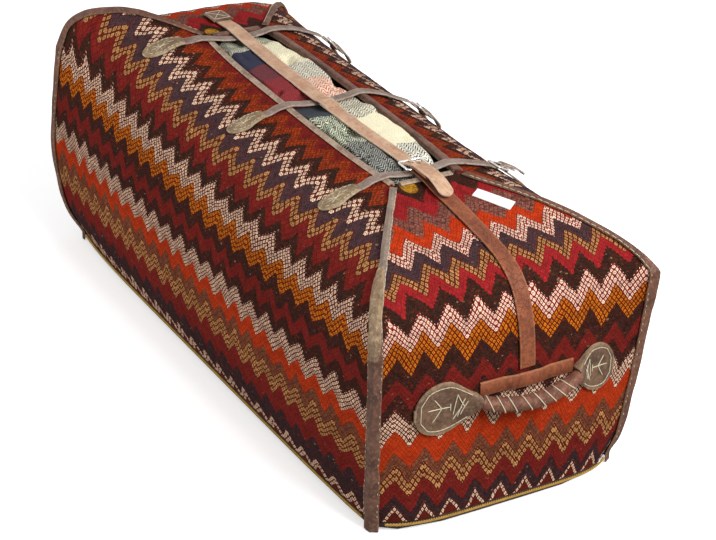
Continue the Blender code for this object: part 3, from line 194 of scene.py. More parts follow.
class WovenPanel:   # one wall with its flap; s runs along the cloth and v up it, in metres

    def __init__(self, line, repeats, along, sign, spread, mouthHalf):
        self.line, self.along, self.sign = line, along, sign
        self.spread, self.mouthHalf = spread, mouthHalf
        self.half = repeats * weave["period"] / 2
        self.height = line["length"]
        self.flap = self.height - wallRise
        side, end = ("front" if sign < 0 else "back"), ("near" if sign > 0 else "far")
        self.corners = (("far_" + side, "near_" + side) if along == "x"
                        else (end + "_front", end + "_back"))

    def halfAt(self, v):
        return self.half + (self.mouthHalf - self.half) * np.maximum(0, (v - wallRise) / self.flap)

    def turns(self, v):
        return np.where(v < wallRise, v / wallRise, 1 + (v - wallRise) / self.flap)

    def climb(self, turns):   # metres up the cloth at these turns of the corner seam
        return np.where(turns <= 1, turns * wallRise, wallRise + (turns - 1) * self.flap)

    def point(self, s, v):
        s, v = np.broadcast_arrays(np.asarray(s, float), np.asarray(v, float))
        u = np.clip(s / self.halfAt(v), -1, 1)
        turns, share = self.turns(v), 0.5 * (1 + u)
        high, low = seamSpot(turns, self.corners[1]), seamSpot(turns, self.corners[0])
        zSeam = share * high[2] + (1 - share) * low[2]
        a, b = (0, 1) if self.along == "x" else (1, 0)
        lateral = share * high[a] - (1 - share) * low[a]
        out = share * high[b] + (1 - share) * low[b]
        middle = onCurve(self.line, np.minimum(v, self.height) / self.height)
        weight = 1 - np.abs(u) ** (self.spread + bag["footSquareness"] * np.maximum(0, 1 - v / 0.12))
        out = self.sign * (out + (middle[..., 0] - out) * weight)
        z = zSeam + (middle[..., 1] - zSeam) * weight
        return np.stack([lateral, out, z] if self.along == "x" else [out, lateral, z], -1)

    def normal(self, s, v):
        step = 0.003
        s, v = np.broadcast_arrays(np.asarray(s, float), np.asarray(v, float))
        room = self.halfAt(v) - 2 * step
        s = np.clip(s, -room, room)
        low, high = np.maximum(0, v - step), np.minimum(self.height, v + step)
        found = unit(np.cross(self.point(s + step, v) - self.point(s - step, v),
                              self.point(s, high) - self.point(s, low)))
        facing = found[..., 1 if self.along == "x" else 0] * self.sign + found[..., 2]
        return found * np.where(facing > 0, 1, -1)[..., None]

    def level(self, s, v):
        return unit(self.point(s + 0.004, v) - self.point(s - 0.004, v))

    def above(self, s, v, offset):
        return self.point(s, v) + self.normal(s, v) * np.asarray(offset)[..., None]


front = WovenPanel(sideLine(), weave["sideRepeats"], "x", -1, 3.4, bag["mouthHalfLength"])
back = WovenPanel(sideLine(), weave["sideRepeats"], "x", 1, 3.4, bag["mouthHalfLength"])
right = WovenPanel(endLine("near"), weave["endRepeats"], "y", 1, 3.0, bag["mouthHalfWidth"])
left = WovenPanel(endLine("far"), weave["endRepeats"], "y", -1, 3.0, bag["mouthHalfWidth"])


def settled(points):   # the top slopes down from the fuller far end
    points = np.array(points, float)
    points[..., 2] -= bag["sag"] * points[..., 0] * (points[..., 2] / bag["mouthHeight"]) ** 2
    return points


def softNoise(points, size, seed, waves=9):   # smooth bumps of about this size, from -1 to 1
    rng = np.random.default_rng(seed)
    ways = unit(rng.normal(size=(waves, 3))) * rng.uniform(0.6, 1.5, (waves, 1))
    starts = rng.uniform(0, 2 * math.pi, waves)
    return np.sin(np.asarray(points) @ ways.T * (2 * math.pi / size) + starts).mean(-1) * 1.8


# making meshes

def gridFaces(rows, columns, around=False):
    wide = columns if around else columns - 1
    i, j = np.meshgrid(np.arange(rows - 1), np.arange(wide), indexing="ij")
    k = (j + 1) % columns
    return np.stack([i * columns + j, i * columns + k, (i + 1) * columns + k,
                     (i + 1) * columns + j], -1).reshape(-1, 4)


def rings(centres, out, up, radius, count):   # circles square to a path
    turn = np.linspace(0, 2 * math.pi, count, endpoint=False)[:, None]
    return centres[:, None] + radius * (out[:, None] * np.cos(turn) + up[:, None] * np.sin(turn))


class MeshParts:   # gathers several shells into one mesh

    def __init__(self):
        self.points, self.faces, self.marks, self.count = [], [], [], 0

    def add(self, points, faces, marks=None):
        points = np.asarray(points, float).reshape(-1, 3)
        self.points.append(points)
        self.faces += [tuple(int(k) + self.count for k in face) for face in faces]
        self.marks.append(np.zeros((len(points), 2)) if marks is None
                          else np.asarray(marks, float).reshape(-1, 2))
        self.count += len(points)

    def tube(self, sections, closed=False, marks=None):   # skin over a row of cross-sections
        sections = np.asarray(sections, float)
        rows, columns = sections.shape[:2]
        faces = gridFaces(rows, columns, around=True).tolist()
        if closed:
            last = (rows - 1) * columns
            faces += [(last + j, last + (j + 1) % columns, (j + 1) % columns, j)
                      for j in range(columns)]
        else:
            faces.append(list(range(columns))[::-1])
            faces.append([(rows - 1) * columns + j for j in range(columns)])
        self.add(sections, faces, marks)

    def thread(self, points, radius, sides=6):
        points = np.asarray(points, float)
        run = unit(np.gradient(points, axis=0))
        hint = np.array([0.31, 0.17, 0.94])
        out = unit(np.cross(run, hint))
        up = np.cross(out, run)
        ends = np.ones((len(points), 1, 1))
        ends[0] = ends[-1] = 0.45
        self.tube(rings(points, out, up, radius * ends, sides))

    def build(self, name, material, slot, body="bag", replaced=None, smooth=45):
        points = settled(np.concatenate(self.points))
        mesh = bpy.data.meshes.new(name)
        mesh.from_pydata(points.tolist(), [], self.faces)
        layer = mesh.uv_layers.new(name="cloth")
        marks = np.concatenate(self.marks)
        order = np.empty(len(mesh.loops), int)
        mesh.loops.foreach_get("vertex_index", order)
        layer.data.foreach_set("uv", marks[order].astype(np.float32).ravel())
        mesh.materials.append(material)
        mesh.validate()
        mesh.update()
        fixNormals(mesh)
        mesh.shade_smooth()
        if smooth:
            mesh.set_sharp_from_angle(angle=math.radians(smooth))
        obj = addObject(name, mesh)
        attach(obj, body)
        if replaced:
            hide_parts(replaced)
        return obj


def buildTube(name, sections, material, slot, across=0.0, along=0.0, **settings):
    # the cloth map says how far along the leather a point lies and how near its edge
    marks = np.zeros((*sections.shape[:2], 2))
    marks[..., 0], marks[..., 1] = along, across
    parts = MeshParts()
    parts.tube(sections, marks=marks)
    return parts.build(name, material, slot, **settings)


def bake(obj):   # the object's mesh as its modifiers leave it
    graph = bpy.context.evaluated_depsgraph_get()
    mesh = bpy.data.meshes.new_from_object(obj.evaluated_get(graph))
    obj.modifiers.clear()
    obj.data = mesh
    return mesh


def fixNormals(mesh):
    bm = bmesh.new()
    bm.from_mesh(mesh)
    bmesh.ops.recalc_face_normals(bm, faces=bm.faces)
    closed = all(len(e.link_faces) == 2 for e in bm.edges)
    if closed and bm.calc_volume(signed=True) < 0:
        bmesh.ops.reverse_faces(bm, faces=bm.faces)
    bm.to_mesh(mesh)
    bm.free()


def smoothPath(points, step=0.0025, soften=0.005, extra=()):
    # evenly spaced points along a route, with its corners rounded; extra rows follow along
    points = np.asarray(points, float)
    reach = reachOf(points)
    count = max(4, int(round(reach[-1] / step)) + 1)
    at = np.linspace(0, reach[-1], count)
    rows = []
    for table in (points, *extra):
        even = readAt(at, reach, table)
        width = int(math.ceil(3 * soften / step))
        if width > 0 and soften > 0:
            kernel = np.exp(-0.5 * (np.arange(-width, width + 1) * step / soften) ** 2)
            kernel /= kernel.sum()
            before = 2 * even[0] - even[1:width + 1][::-1]
            after = 2 * even[-1] - even[-width - 1:-1][::-1]
            if len(before) == width and len(after) == width:
                wide = np.vstack([before, even, after])
                even = np.stack([np.convolve(column, kernel, "valid") for column in wide.T], -1)
        rows.append(even)
    return rows[0], rows[1:], at


# shader helpers

class NodeDesk:   # adds and wires the nodes of one material or group

    def __init__(self, tree):
        self.tree = tree

    def add(self, kind, **settings):
        node = self.tree.nodes.new(kind)
        for key, value in settings.items():
            setattr(node, key, value)
        return node

    def plug(self, socket, value):
        if isinstance(value, bpy.types.NodeSocket):
            self.tree.links.new(value, socket)
        elif value is not None:
            if socket.type == "RGBA" and len(value) == 3:
                value = (*value, 1.0)
            socket.default_value = value

    def calc(self, operation, *values, clamp=False):
        node = self.add("ShaderNodeMath", operation=operation, use_clamp=clamp)
        for socket, value in zip(node.inputs, values):
            self.plug(socket, value)
        return node.outputs[0]

    def plus(self, a, b):
        return self.calc("ADD", a, b)

    def times(self, a, b):
        return self.calc("MULTIPLY", a, b)

    def scaled(self, value, factor, offset):
        return self.calc("MULTIPLY_ADD", value, factor, offset)

    def remap(self, value, low, high, newLow=0.0, newHigh=1.0, smooth=False):
        node = self.add("ShaderNodeMapRange",
                        interpolation_type="SMOOTHSTEP" if smooth else "LINEAR")
        for index, entry in enumerate((value, low, high, newLow, newHigh)):
            self.plug(node.inputs[index], entry)
        return node.outputs[0]

    def mix(self, share, a, b, blend="MIX"):
        node = self.add("ShaderNodeMix", data_type="RGBA", blend_type=blend)
        self.plug(node.inputs[0], share)
        self.plug(node.inputs[6], a)
        self.plug(node.inputs[7], b)
        return node.outputs[2]

    def ramp(self, value, stops, interpolation="LINEAR"):
        node = self.add("ShaderNodeValToRGB")
        ramp = node.color_ramp
        ramp.interpolation = interpolation
        while len(ramp.elements) > 1:
            ramp.elements.remove(ramp.elements[-1])
        for index, (place, colour) in enumerate(stops):
            element = ramp.elements[0] if index == 0 else ramp.elements.new(place)
            element.position = place
            element.color = (*colour, 1.0) if hasattr(colour, "__len__") else (colour,) * 3 + (1.0,)
        self.plug(node.inputs[0], value)
        return node.outputs[0]

    def noise(self, vector, scale, detail=2.0, rough=0.5, distort=0.0):
        node = self.add("ShaderNodeTexNoise")
        for key, value in (("Vector", vector), ("Scale", scale), ("Detail", detail),
                           ("Roughness", rough), ("Distortion", distort)):
            self.plug(node.inputs[key], value)
        return node.outputs["Fac"]

    def cells(self, vector, scale, output="Distance"):
        node = self.add("ShaderNodeTexVoronoi")
        self.plug(node.inputs["Vector"], vector)
        self.plug(node.inputs["Scale"], scale)
        return node.outputs[output]

    def stretch(self, vector, scale):
        node = self.add("ShaderNodeMapping")
        self.plug(node.inputs["Vector"], vector)
        node.inputs["Scale"].default_value = scale
        return node.outputs[0]

    def split(self, colour, kind="ShaderNodeSeparateColor"):
        node = self.add(kind)
        self.plug(node.inputs[0], colour)
        return node.outputs

    def group(self, tree, **values):
        node = self.add("ShaderNodeGroup", node_tree=tree)
        for key, value in values.items():
            self.plug(node.inputs[key], value)
        return node.outputs

    def bump(self, height, distance):
        node = self.add("ShaderNodeBump")
        node.inputs["Distance"].default_value = distance
        self.plug(node.inputs["Height"], height)
        return node.outputs[0]

    def grey(self, value):
        node = self.add("ShaderNodeCombineColor")
        for socket in node.inputs[:3]:
            self.plug(socket, value)
        return node.outputs[0]

    def place(self):   # the object's own metres
        return self.add("ShaderNodeTexCoord").outputs["Object"]

    def cloth(self):   # metres or marks along and across the piece
        return self.add("ShaderNodeUVMap", uv_map="cloth").outputs[0]

    def axes(self, vector):
        return self.split(vector, "ShaderNodeSeparateXYZ")


def startMaterial(name, **fixed):
    material = bpy.data.materials.new(name)
    material.use_nodes = True
    shader = material.node_tree.nodes["Principled BSDF"]
    for key, value in fixed.items():
        shader.inputs[key.replace("_", " ")].default_value = value
    return material, NodeDesk(material.node_tree), shader


def dress(desk, shader, colour, height, depth):
    desk.plug(shader.inputs["Base Color"], colour)
    desk.plug(shader.inputs["Normal"], desk.bump(height, depth))


def startGroup(name, takes, gives):
    kinds = {"float": "NodeSocketFloat", "colour": "NodeSocketColor", "vector": "NodeSocketVector"}
    tree = bpy.data.node_groups.new(name, "ShaderNodeTree")
    for way, sockets in (("INPUT", takes), ("OUTPUT", gives)):
        for label, kind in sockets.items():
            tree.interface.new_socket(name=label, in_out=way, socket_type=kinds[kind])
    desk = NodeDesk(tree)
    return tree, desk, desk.add("NodeGroupInput").outputs, desk.add("NodeGroupOutput").inputs


def makeZigzagGroup():
    # turns the cloth's own metres into the level in the bands and the swing of their zigzag
    tree, desk, takes, gives = startGroup(
        "zigzagBands", {"Cloth": "vector", "Reach": "float"},
        {"Level": "float", "Swing": "float"})
    across = desk.axes(takes["Cloth"])
    drift = desk.noise(takes["Cloth"], 9.0, 2.0)
    lift = desk.noise(takes["Cloth"], 21.0, 2.0)
    shake = desk.noise(takes["Cloth"], 75.0, 1.0)
    along = desk.plus(across[0], desk.scaled(drift, 0.020, -0.010))
    up = desk.plus(across[1], desk.scaled(lift, -0.020, 0.010))
    up = desk.plus(up, desk.scaled(shake, 0.0050, -0.0025))
    fold = desk.calc("PINGPONG", along, weave["period"] / 2)
    swing = desk.calc("SUBTRACT", desk.calc("DIVIDE", fold, weave["period"] / 2), 0.5)
    swing = desk.times(swing, takes["Reach"])
    desk.plug(gives["Level"], desk.calc("SUBTRACT", up, swing))
    desk.plug(gives["Swing"], swing)
    return tree


def makeLatticeGroup():
    # small diamonds between two families of slanted lines
    tree, desk, takes, gives = startGroup(
        "diamondLattice",
        {"Rows": "float", "Swing": "float", "Per Metre": "float", "Line Width": "float"},
        {"Line": "float", "Dot": "float", "Pillow": "float", "Cell": "float"})
    crossing = desk.times(desk.times(takes["Swing"], 2.0), takes["Per Metre"])
    crossing = desk.plus(crossing, takes["Rows"])
    one = desk.times(desk.calc("PINGPONG", takes["Rows"], 0.5), 2.0)
    other = desk.times(desk.calc("PINGPONG", crossing, 0.5), 2.0)
    inside = desk.calc("MINIMUM", one, other)
    edge = desk.plus(takes["Line Width"], 0.12)
    desk.plug(gives["Line"], desk.remap(inside, takes["Line Width"], edge, 1.0, 0.0, True))
    desk.plug(gives["Dot"], desk.remap(inside, 0.70, 0.82, 0.0, 1.0, True))
    desk.plug(gives["Pillow"], desk.remap(inside, 0.0, 0.55, 0.0, 1.0, True))
    corner = desk.add("ShaderNodeCombineXYZ")
    desk.plug(corner.inputs[0], desk.calc("FLOOR", takes["Rows"]))
    desk.plug(corner.inputs[1], desk.calc("FLOOR", crossing))
    chance = desk.add("ShaderNodeTexWhiteNoise", noise_dimensions="2D")
    desk.plug(chance.inputs["Vector"], corner.outputs[0])
    desk.plug(gives["Cell"], chance.outputs["Value"])
    return tree


def makeYarnGroup():
    # wool: uneven dye, flecks of other yarn and the ribs of the weft
    tree, desk, takes, gives = startGroup(
        "woolYarn", {"Cloth": "vector", "Color": "colour", "Fleck": "float"},
        {"Color": "colour", "Height": "float"})
    wefts = desk.stretch(takes["Cloth"], (260.0, 620.0, 1.0))
    grain = desk.noise(wefts, 1.0, 2.0, 0.6)
    soft = desk.noise(takes["Cloth"], 55.0, 3.0, 0.6)
    wide = desk.noise(takes["Cloth"], 5.0, 2.0)
    shade = desk.plus(desk.remap(grain, 0.3, 0.7, 0.74, 1.22),
                      desk.remap(soft, 0.3, 0.7, -0.16, 0.16))
    shade = desk.plus(shade, desk.remap(wide, 0.35, 0.65, -0.07, 0.07))
    dyed = desk.mix(1.0, takes["Color"], desk.grey(shade), "MULTIPLY")
    bits = desk.cells(desk.stretch(takes["Cloth"], (300.0, 420.0, 1.0)), 1.0, output="Color")
    parts = desk.split(bits)
    flecks = desk.ramp(parts[0], [
        (0.0, (0.010, 0.006, 0.005)), (0.34, (0.110, 0.010, 0.008)), (0.50, (0.050, 0.013, 0.016)),
        (0.60, (0.018, 0.016, 0.020)), (0.70, (0.034, 0.026, 0.012)), (0.88, (0.16, 0.034, 0.012)),
        (0.99, (0.36, 0.24, 0.14))],
        "CONSTANT")
    chosen = desk.times(desk.remap(parts[1], 0.35, 0.75, 0.0, 1.0), takes["Fleck"])
    desk.plug(gives["Color"], desk.mix(chosen, dyed, flecks))
    across = desk.axes(takes["Cloth"])
    rib = desk.calc("PINGPONG", desk.times(across[1], weave["threads"]), 0.5)
    desk.plug(gives["Height"], desk.scaled(grain, 0.7, rib))
    return tree


def makeLeatherGroup():
    # worn leather: blotches, grain, creases and rubbed edges
    tree, desk, takes, gives = startGroup(
        "wornLeather", {"Place": "vector", "Color": "colour", "Shade": "colour",
                        "Rubbed": "colour", "Edge": "float", "Wear": "float"},
        {"Color": "colour", "Roughness": "float", "Height": "float"})
    blotch = desk.noise(takes["Place"], 26.0, 4.0, 0.62)
    streak = desk.noise(takes["Place"], 95.0, 3.0, 0.6, 0.6)
    fine = desk.cells(takes["Place"], 950.0)
    crease = desk.noise(takes["Place"], 48.0, 4.0, 0.65, 1.8)
    line = desk.remap(desk.calc("ABSOLUTE", desk.calc("SUBTRACT", crease, 0.5)), 0.0, 0.028,
                      1.0, 0.0, True)
    base = desk.mix(desk.remap(blotch, 0.38, 0.64), takes["Color"], takes["Shade"])
    base = desk.mix(desk.remap(streak, 0.42, 0.70, 0.0, 0.55), base, takes["Shade"])
    base = desk.mix(desk.times(line, 0.45), base, takes["Shade"])
    rub = desk.noise(takes["Place"], 150.0, 3.0, 0.7)
    bare = desk.times(desk.remap(rub, 0.50, 0.66), takes["Wear"])
    rim = desk.times(takes["Edge"], desk.remap(rub, 0.25, 0.60))
    bare = desk.calc("MAXIMUM", bare, rim, clamp=True)
    desk.plug(gives["Color"], desk.mix(bare, base, takes["Rubbed"]))
    desk.plug(gives["Roughness"], desk.plus(desk.remap(blotch, 0.3, 0.7, 0.50, 0.68),
                                            desk.times(bare, 0.14)))
    height = desk.scaled(line, -0.8, desk.times(fine, 0.35))
    desk.plug(gives["Height"], desk.scaled(streak, 0.9, height))
    return tree


zigzagBands = makeZigzagGroup()
diamondLattice = makeLatticeGroup()
woolYarn = makeYarnGroup()
wornLeather = makeLeatherGroup()

wool = {   # colour, lattice colour, strength of the lattice, flecks of other yarn
    "cream": ((0.86, 0.61, 0.43), (0.100, 0.012, 0.008), 1.0, 0.08),
    # pinkCreamPaintedLight, crimson, heather and scarlet are used only on the end: the cream, red,
    # mauve and rust yarns made brighter, painted light where the end flap is lit from above
    "pinkCreamPaintedLight": ((0.92, 0.66, 0.49), (0.210, 0.012, 0.014), 1.0, 0.06),
    "navy": ((0.046, 0.021, 0.024), (0.012, 0.006, 0.006), 0.15, 0.55),
    "crimson": ((0.38, 0.018, 0.020), (0.120, 0.009, 0.010), 0.35, 0.16),
    "wine": ((0.225, 0.016, 0.012), (0.060, 0.008, 0.006), 0.40, 0.26),
    "tan": ((0.52, 0.27, 0.095), (0.110, 0.014, 0.006), 1.0, 0.15),
    "mauve": ((0.235, 0.072, 0.034), (0.060, 0.014, 0.009), 0.50, 0.42),
    "heatherPaintedLight": ((0.300, 0.120, 0.082), (0.120, 0.016, 0.018), 0.60, 0.62),
    "rust": ((0.52, 0.044, 0.006), (0.140, 0.010, 0.004), 0.40, 0.12),
    "scarletPaintedLight": ((0.56, 0.045, 0.007), (0.220, 0.012, 0.004), 0.35, 0.08),
    "plum": ((0.052, 0.015, 0.010), (0.012, 0.005, 0.004), 0.15, 0.55),
    "orange": ((0.62, 0.180, 0.010), (0.140, 0.012, 0.003), 1.0, 0.08),
    "brown": ((0.050, 0.017, 0.010), (0.012, 0.005, 0.004), 0.15, 0.55),
    "slate": ((0.078, 0.040, 0.046), (0.024, 0.011, 0.012), 0.20, 0.50),
    "ember": ((0.46, 0.050, 0.007), (0.050, 0.010, 0.005), 0.70, 0.55),
}
sideBands = [   # colour and height of each band, from the tray up
    ("cream", 0.022), ("navy", 0.044), ("wine", 0.040), ("tan", 0.031), ("mauve", 0.023),
    ("rust", 0.028), ("cream", 0.033), ("plum", 0.025), ("wine", 0.027), ("plum", 0.028),
    ("orange", 0.031), ("cream", 0.028), ("brown", 0.021), ("wine", 0.023), ("tan", 0.022),
    ("slate", 0.021), ("cream", 0.022), ("brown", 0.018), ("ember", 0.024), ("wine", 0.060)]
# the upper bands of the end use the brighter yarn copies, painted light on the flap
endBands = [
    ("cream", 0.012), ("navy", 0.020), ("wine", 0.030), ("tan", 0.028), ("mauve", 0.025),
    ("rust", 0.040), ("cream", 0.040), ("plum", 0.026), ("wine", 0.030), ("plum", 0.035),
    ("orange", 0.036), ("pinkCreamPaintedLight", 0.032), ("brown", 0.029), ("crimson", 0.022), ("tan", 0.023),
    ("slate", 0.026), ("pinkCreamPaintedLight", 0.029), ("scarletPaintedLight", 0.027), ("heatherPaintedLight", 0.035),
    ("crimson", 0.040), ("brown", 0.070)]


def bandRows(bands, cell):   # top of each band, and how many rows of diamonds lie below it
    tops, rows = [0.0], [0.0]
    for _, height in bands:
        tops.append(tops[-1] + height)
        rows.append(rows[-1] + max(1, round(height / cell)))
    return tops, rows


def makeWool(name, bands, swing, cell, patch=None):
    # patch: middle, half size and colour of one odd field
    material, desk, shader = startMaterial(name, Roughness=0.95, Specular_IOR_Level=0.06)
    cloth = desk.cloth()
    zigzag = desk.group(zigzagBands, Cloth=cloth, Reach=swing)
    marks, rows = bandRows(bands, cell)
    top = marks[-1]
    level = desk.calc("DIVIDE", zigzag["Level"], top)
    count = desk.ramp(level, [(mark / top, row / rows[-1]) for mark, row in zip(marks, rows)])
    count = desk.times(count, rows[-1])
    # the yarn changes cell by cell, so the edge of a band is toothed
    tooth = desk.scaled(zigzag["Swing"], 2.0, zigzag["Level"])
    tooth = desk.calc("PINGPONG", desk.calc("DIVIDE", tooth, cell), 0.5)
    step = weave["tooth"] * cell / top
    level = desk.plus(level, desk.scaled(tooth, step, -step / 4))
    starts = [mark / top for mark in marks[:-1]]
    kinds = [wool[kind] for kind, _ in bands]
    dense = [(r1 - r0) / (m1 - m0) for r0, r1, m0, m1 in zip(rows, rows[1:], marks, marks[1:])]
    colour = desk.ramp(level, list(zip(starts, [k[0] for k in kinds])), "CONSTANT")
    lines = desk.ramp(level, list(zip(starts, [k[1] for k in kinds])), "CONSTANT")
    habits = desk.split(desk.ramp(level, list(zip(
        starts, [(k[2], k[3], d / weave["mostRows"]) for k, d in zip(kinds, dense)])), "CONSTANT"))
    rate = desk.times(habits[2], weave["mostRows"])
    lattice = desk.group(diamondLattice, **{
        "Rows": count, "Swing": zigzag["Swing"], "Per Metre": rate, "Line Width": weave["line"]})
    small = desk.group(diamondLattice, **{
        "Rows": desk.times(count, 2.0), "Swing": zigzag["Swing"],
        "Per Metre": desk.times(rate, 2.0), "Line Width": weave["smallLine"]})
    drawn = desk.calc("MAXIMUM", lattice["Line"], desk.times(lattice["Dot"], 0.85))
    uneven = desk.remap(lattice["Cell"], 0.0, 1.0, 0.70, 1.10)
    colour = desk.mix(desk.scaled(habits[0], 0.6, 0.4), colour,
                      desk.mix(1.0, colour, desk.grey(uneven), "MULTIPLY"))
    faint = desk.times(small["Line"], desk.remap(habits[0], 0.0, 0.7, 0.75, 0.0))
    colour = desk.mix(faint, colour, lines)
    colour = desk.mix(desk.times(drawn, habits[0]), colour, lines)
    if patch:
        spot = desk.axes(cloth)
        away = [desk.calc("DIVIDE", desk.calc("SUBTRACT", spot[k], patch[0][k]), patch[1][k])
                for k in (0, 1)]
        far = desk.plus(*[desk.times(part, part) for part in away])
        colour = desk.mix(desk.remap(far, 0.7, 1.2, 1.0, 0.0, True), colour, patch[2])
    yarn = desk.group(woolYarn, Cloth=cloth, Color=colour, Fleck=habits[1])
    height = desk.scaled(lattice["Pillow"], habits[0], yarn["Height"])
    height = desk.scaled(small["Pillow"], 0.4, height)
    dress(desk, shader, yarn["Color"], height, 0.0008)
    return material


def makeLeather(name, colour, shade, rubbed, wear=0.4, gloss=0.3, grain=0.0005, edged=True,
                upper=None):   # upper: colour of a corner strip above the ear
    material, desk, shader = startMaterial(name, Specular_IOR_Level=gloss)
    place, marks = desk.place(), desk.axes(desk.cloth())
    edge = desk.remap(desk.calc("ABSOLUTE", marks[1]), 0.72, 0.98) if edged else 0.0
    if upper:
        above = desk.remap(marks[0], wallRise - 0.02, wallRise + 0.03)
        colour, shade = (desk.mix(above, low, tuple(share * c for c in upper))
                         for low, share in ((colour, 1.0), (shade, 0.55)))
    leather = desk.group(wornLeather, Place=place, Color=colour, Shade=shade, Rubbed=rubbed,
                         Edge=edge, Wear=wear)
    dress(desk, shader, leather["Color"], leather["Height"], grain)
    desk.plug(shader.inputs["Roughness"], leather["Roughness"])
    return material


leathers = {
    "binding": makeLeather("bindingLeather", (0.160, 0.072, 0.045), (0.070, 0.030, 0.020),
                           (0.29, 0.17, 0.115), 0.40, upper=(0.33, 0.245, 0.190)),
    "foldLeather": makeLeather("foldLeather", (0.33, 0.225, 0.125), (0.16, 0.095, 0.055),
                               (0.48, 0.38, 0.25), 0.4),
    "redBinding": makeLeather("redBindingLeather", (0.175, 0.075, 0.045), (0.080, 0.034, 0.022),
                              (0.30, 0.17, 0.11), 0.35),
    "paleBinding": makeLeather("paleRimLeather", (0.38, 0.275, 0.195), (0.185, 0.110, 0.072),
                               (0.52, 0.42, 0.32), 0.5),
    "tray": makeLeather("trayLeather", (0.085, 0.042, 0.027), (0.035, 0.019, 0.014),
                        (0.17, 0.10, 0.07), 0.3, edged=False),
    "greyStrap": makeLeather("greyStrapLeather", (0.29, 0.215, 0.175), (0.165, 0.105, 0.080),
                             (0.42, 0.34, 0.28), 0.4),
    "paleStrap": makeLeather("paleStrapLeather", (0.60, 0.385, 0.250), (0.42, 0.220, 0.130),
                             (0.62, 0.46, 0.34), 0.4),
    "redStrap": makeLeather("redStrapLeather", (0.27, 0.078, 0.030), (0.140, 0.038, 0.018),
                            (0.34, 0.135, 0.065), 0.25, 0.25),
    "patch": makeLeather("patchLeather", (0.170, 0.094, 0.054), (0.075, 0.040, 0.025),
                         (0.30, 0.20, 0.12), 0.32),
    "tabLeather": makeLeather("tabLeather", (0.27, 0.185, 0.098), (0.130, 0.080, 0.046),
                              (0.42, 0.33, 0.21), 0.4),
    "grip": makeLeather("gripLeather", (0.22, 0.078, 0.040), (0.105, 0.036, 0.021),
                        (0.36, 0.19, 0.11), 0.38, 0.4, edged=False),
}


def makePlain(name, colour, worn, spots, spread, fibre, detail, depth, rough=None, **fixed):
    # one colour that wears into another in spots, over a fine relief
    material, desk, shader = startMaterial(name, **fixed)
    place = desk.place()
    stain = desk.noise(place, *spots)
    dress(desk, shader, desk.mix(desk.remap(stain, *spread), colour, worn),
          desk.noise(desk.stretch(place, fibre), 1.0, detail), depth)
    if rough:
        desk.plug(shader.inputs["Roughness"], desk.remap(stain, *rough))
    return material


def makeThread(name, colour):
    return makePlain(name, colour, tuple(0.55 * c for c in colour), (120.0, 3.0, 0.6),
                     (0.35, 0.70, 0.0, 0.7), (900.0, 900.0, 1600.0), 1.0, 0.0003,
                     Roughness=0.85, Sheen_Weight=0.1)


paleThread = makeThread("paleThread", (0.62, 0.54, 0.38))
goldCord = makeThread("goldCord", (0.46, 0.27, 0.045))
nickel = makePlain("nickel", (0.80, 0.79, 0.76), (0.52, 0.48, 0.43), (160.0, 4.0, 0.65),
                   (0.45, 0.75), (2500.0, 350.0, 900.0), 2.0, 0.00012,
                   rough=(0.3, 0.8, 0.16, 0.42), Metallic=1.0)
print("materials ready")


# woven walls and flaps

def clothLevels(bands, reach, cell, s, v):   # the same bands as the shader, for the relief
    fold = np.abs(((s / (weave["period"] / 2)) + 1) % 2 - 1)
    swing = (fold - 0.5) * reach
    marks, rows = bandRows(bands, cell)
    level = v - swing
    row = np.interp(level, marks, rows)
    crossing = row + 2 * swing / cell
    one, other = (np.abs((x + 0.5) % 1 - 0.5) * 2 for x in (row, crossing))
    pillow = np.clip(np.minimum(one, other) / 0.55, 0, 1)
    band = np.clip(np.searchsorted(marks, level, side="right") - 1, 0, len(bands) - 1)
    strength = np.array([wool[kind][2] for kind, _ in bands])[band]
    up = np.interp(level, marks, [1 if k % 2 else -1 for k in range(len(marks))])
    return eased(pillow) * strength, up


def buildWall(name, panel, bands, material, columns, rows, node, seed):
    v = np.linspace(0, panel.height, rows + 1)[:, None] * np.ones(columns + 1)
    u = np.linspace(-1, 1, columns + 1)[None] * np.ones((rows + 1, 1))
    s = u * panel.halfAt(v)
    spots, normals = panel.point(s, v), panel.normal(s, v)
    edge = np.minimum(np.minimum(v, panel.height - v), (panel.halfAt(v) - np.abs(s)) * 0.9)
    fade = np.clip(edge / weave["fade"], 0, 1)
    # the bands droop in the middle of a wall, so the cloth is read a little higher up there
    high = np.clip((v - weave["droopFrom"]) / (weave["droopTo"] - weave["droopFrom"]), 0, 1)
    kind = "side" if panel.along == "x" else "end"
    droop = weave[kind + "Droop"]
    readV = v + droop * (1 - u ** 2) * high * np.clip((panel.height - v) / 0.14, 0.35, 1)
    readS = s + (weave["endShift"] if panel.along == "y" else 0)
    pillow, ridge = clothLevels(bands, weave[kind + "Swing"], weave[kind + "Cell"], readS, readV)
    lumps = softNoise(spots, 0.13, seed) * 0.0006 + softNoise(spots, 0.030, seed + 1) * 0.0003
    relief = (ridge * weave["ridge"] / 2 * 0.7 + (pillow - 0.5) * weave["pillow"] + lumps) * fade
    parts = MeshParts()
    flip = panel.sign if panel.along == "y" else -panel.sign
    faces = gridFaces(rows + 1, columns + 1)
    parts.add(spots + normals * relief[..., None], faces[:, ::flip].tolist(),
              np.stack([readS, readV], -1))
    obj = parts.build(name, material, "woven_wool", replaced=node, smooth=None)


sideWool = makeWool("sideWool", sideBands, weave["sideSwing"], weave["sideCell"])
endWool = makeWool("endWool", endBands, weave["endSwing"], weave["endCell"],
                   ((-0.046, right.height - 0.008), (0.013, 0.017), (0.50, 0.24, 0.02)))
buildWall("woven_front_wall", front, sideBands, sideWool, 368, 200, "front_panel", 11)
buildWall("woven_back_wall", back, sideBands, sideWool, 368, 200, "back_panel", 12)
buildWall("woven_right_end", right, endBands, endWool, 240, 270, "right_end_panel", 13)
buildWall("woven_left_end", left, endBands, endWool, 160, 190, "left_end_panel", 14)
print("woven walls built")


# leather on the seams

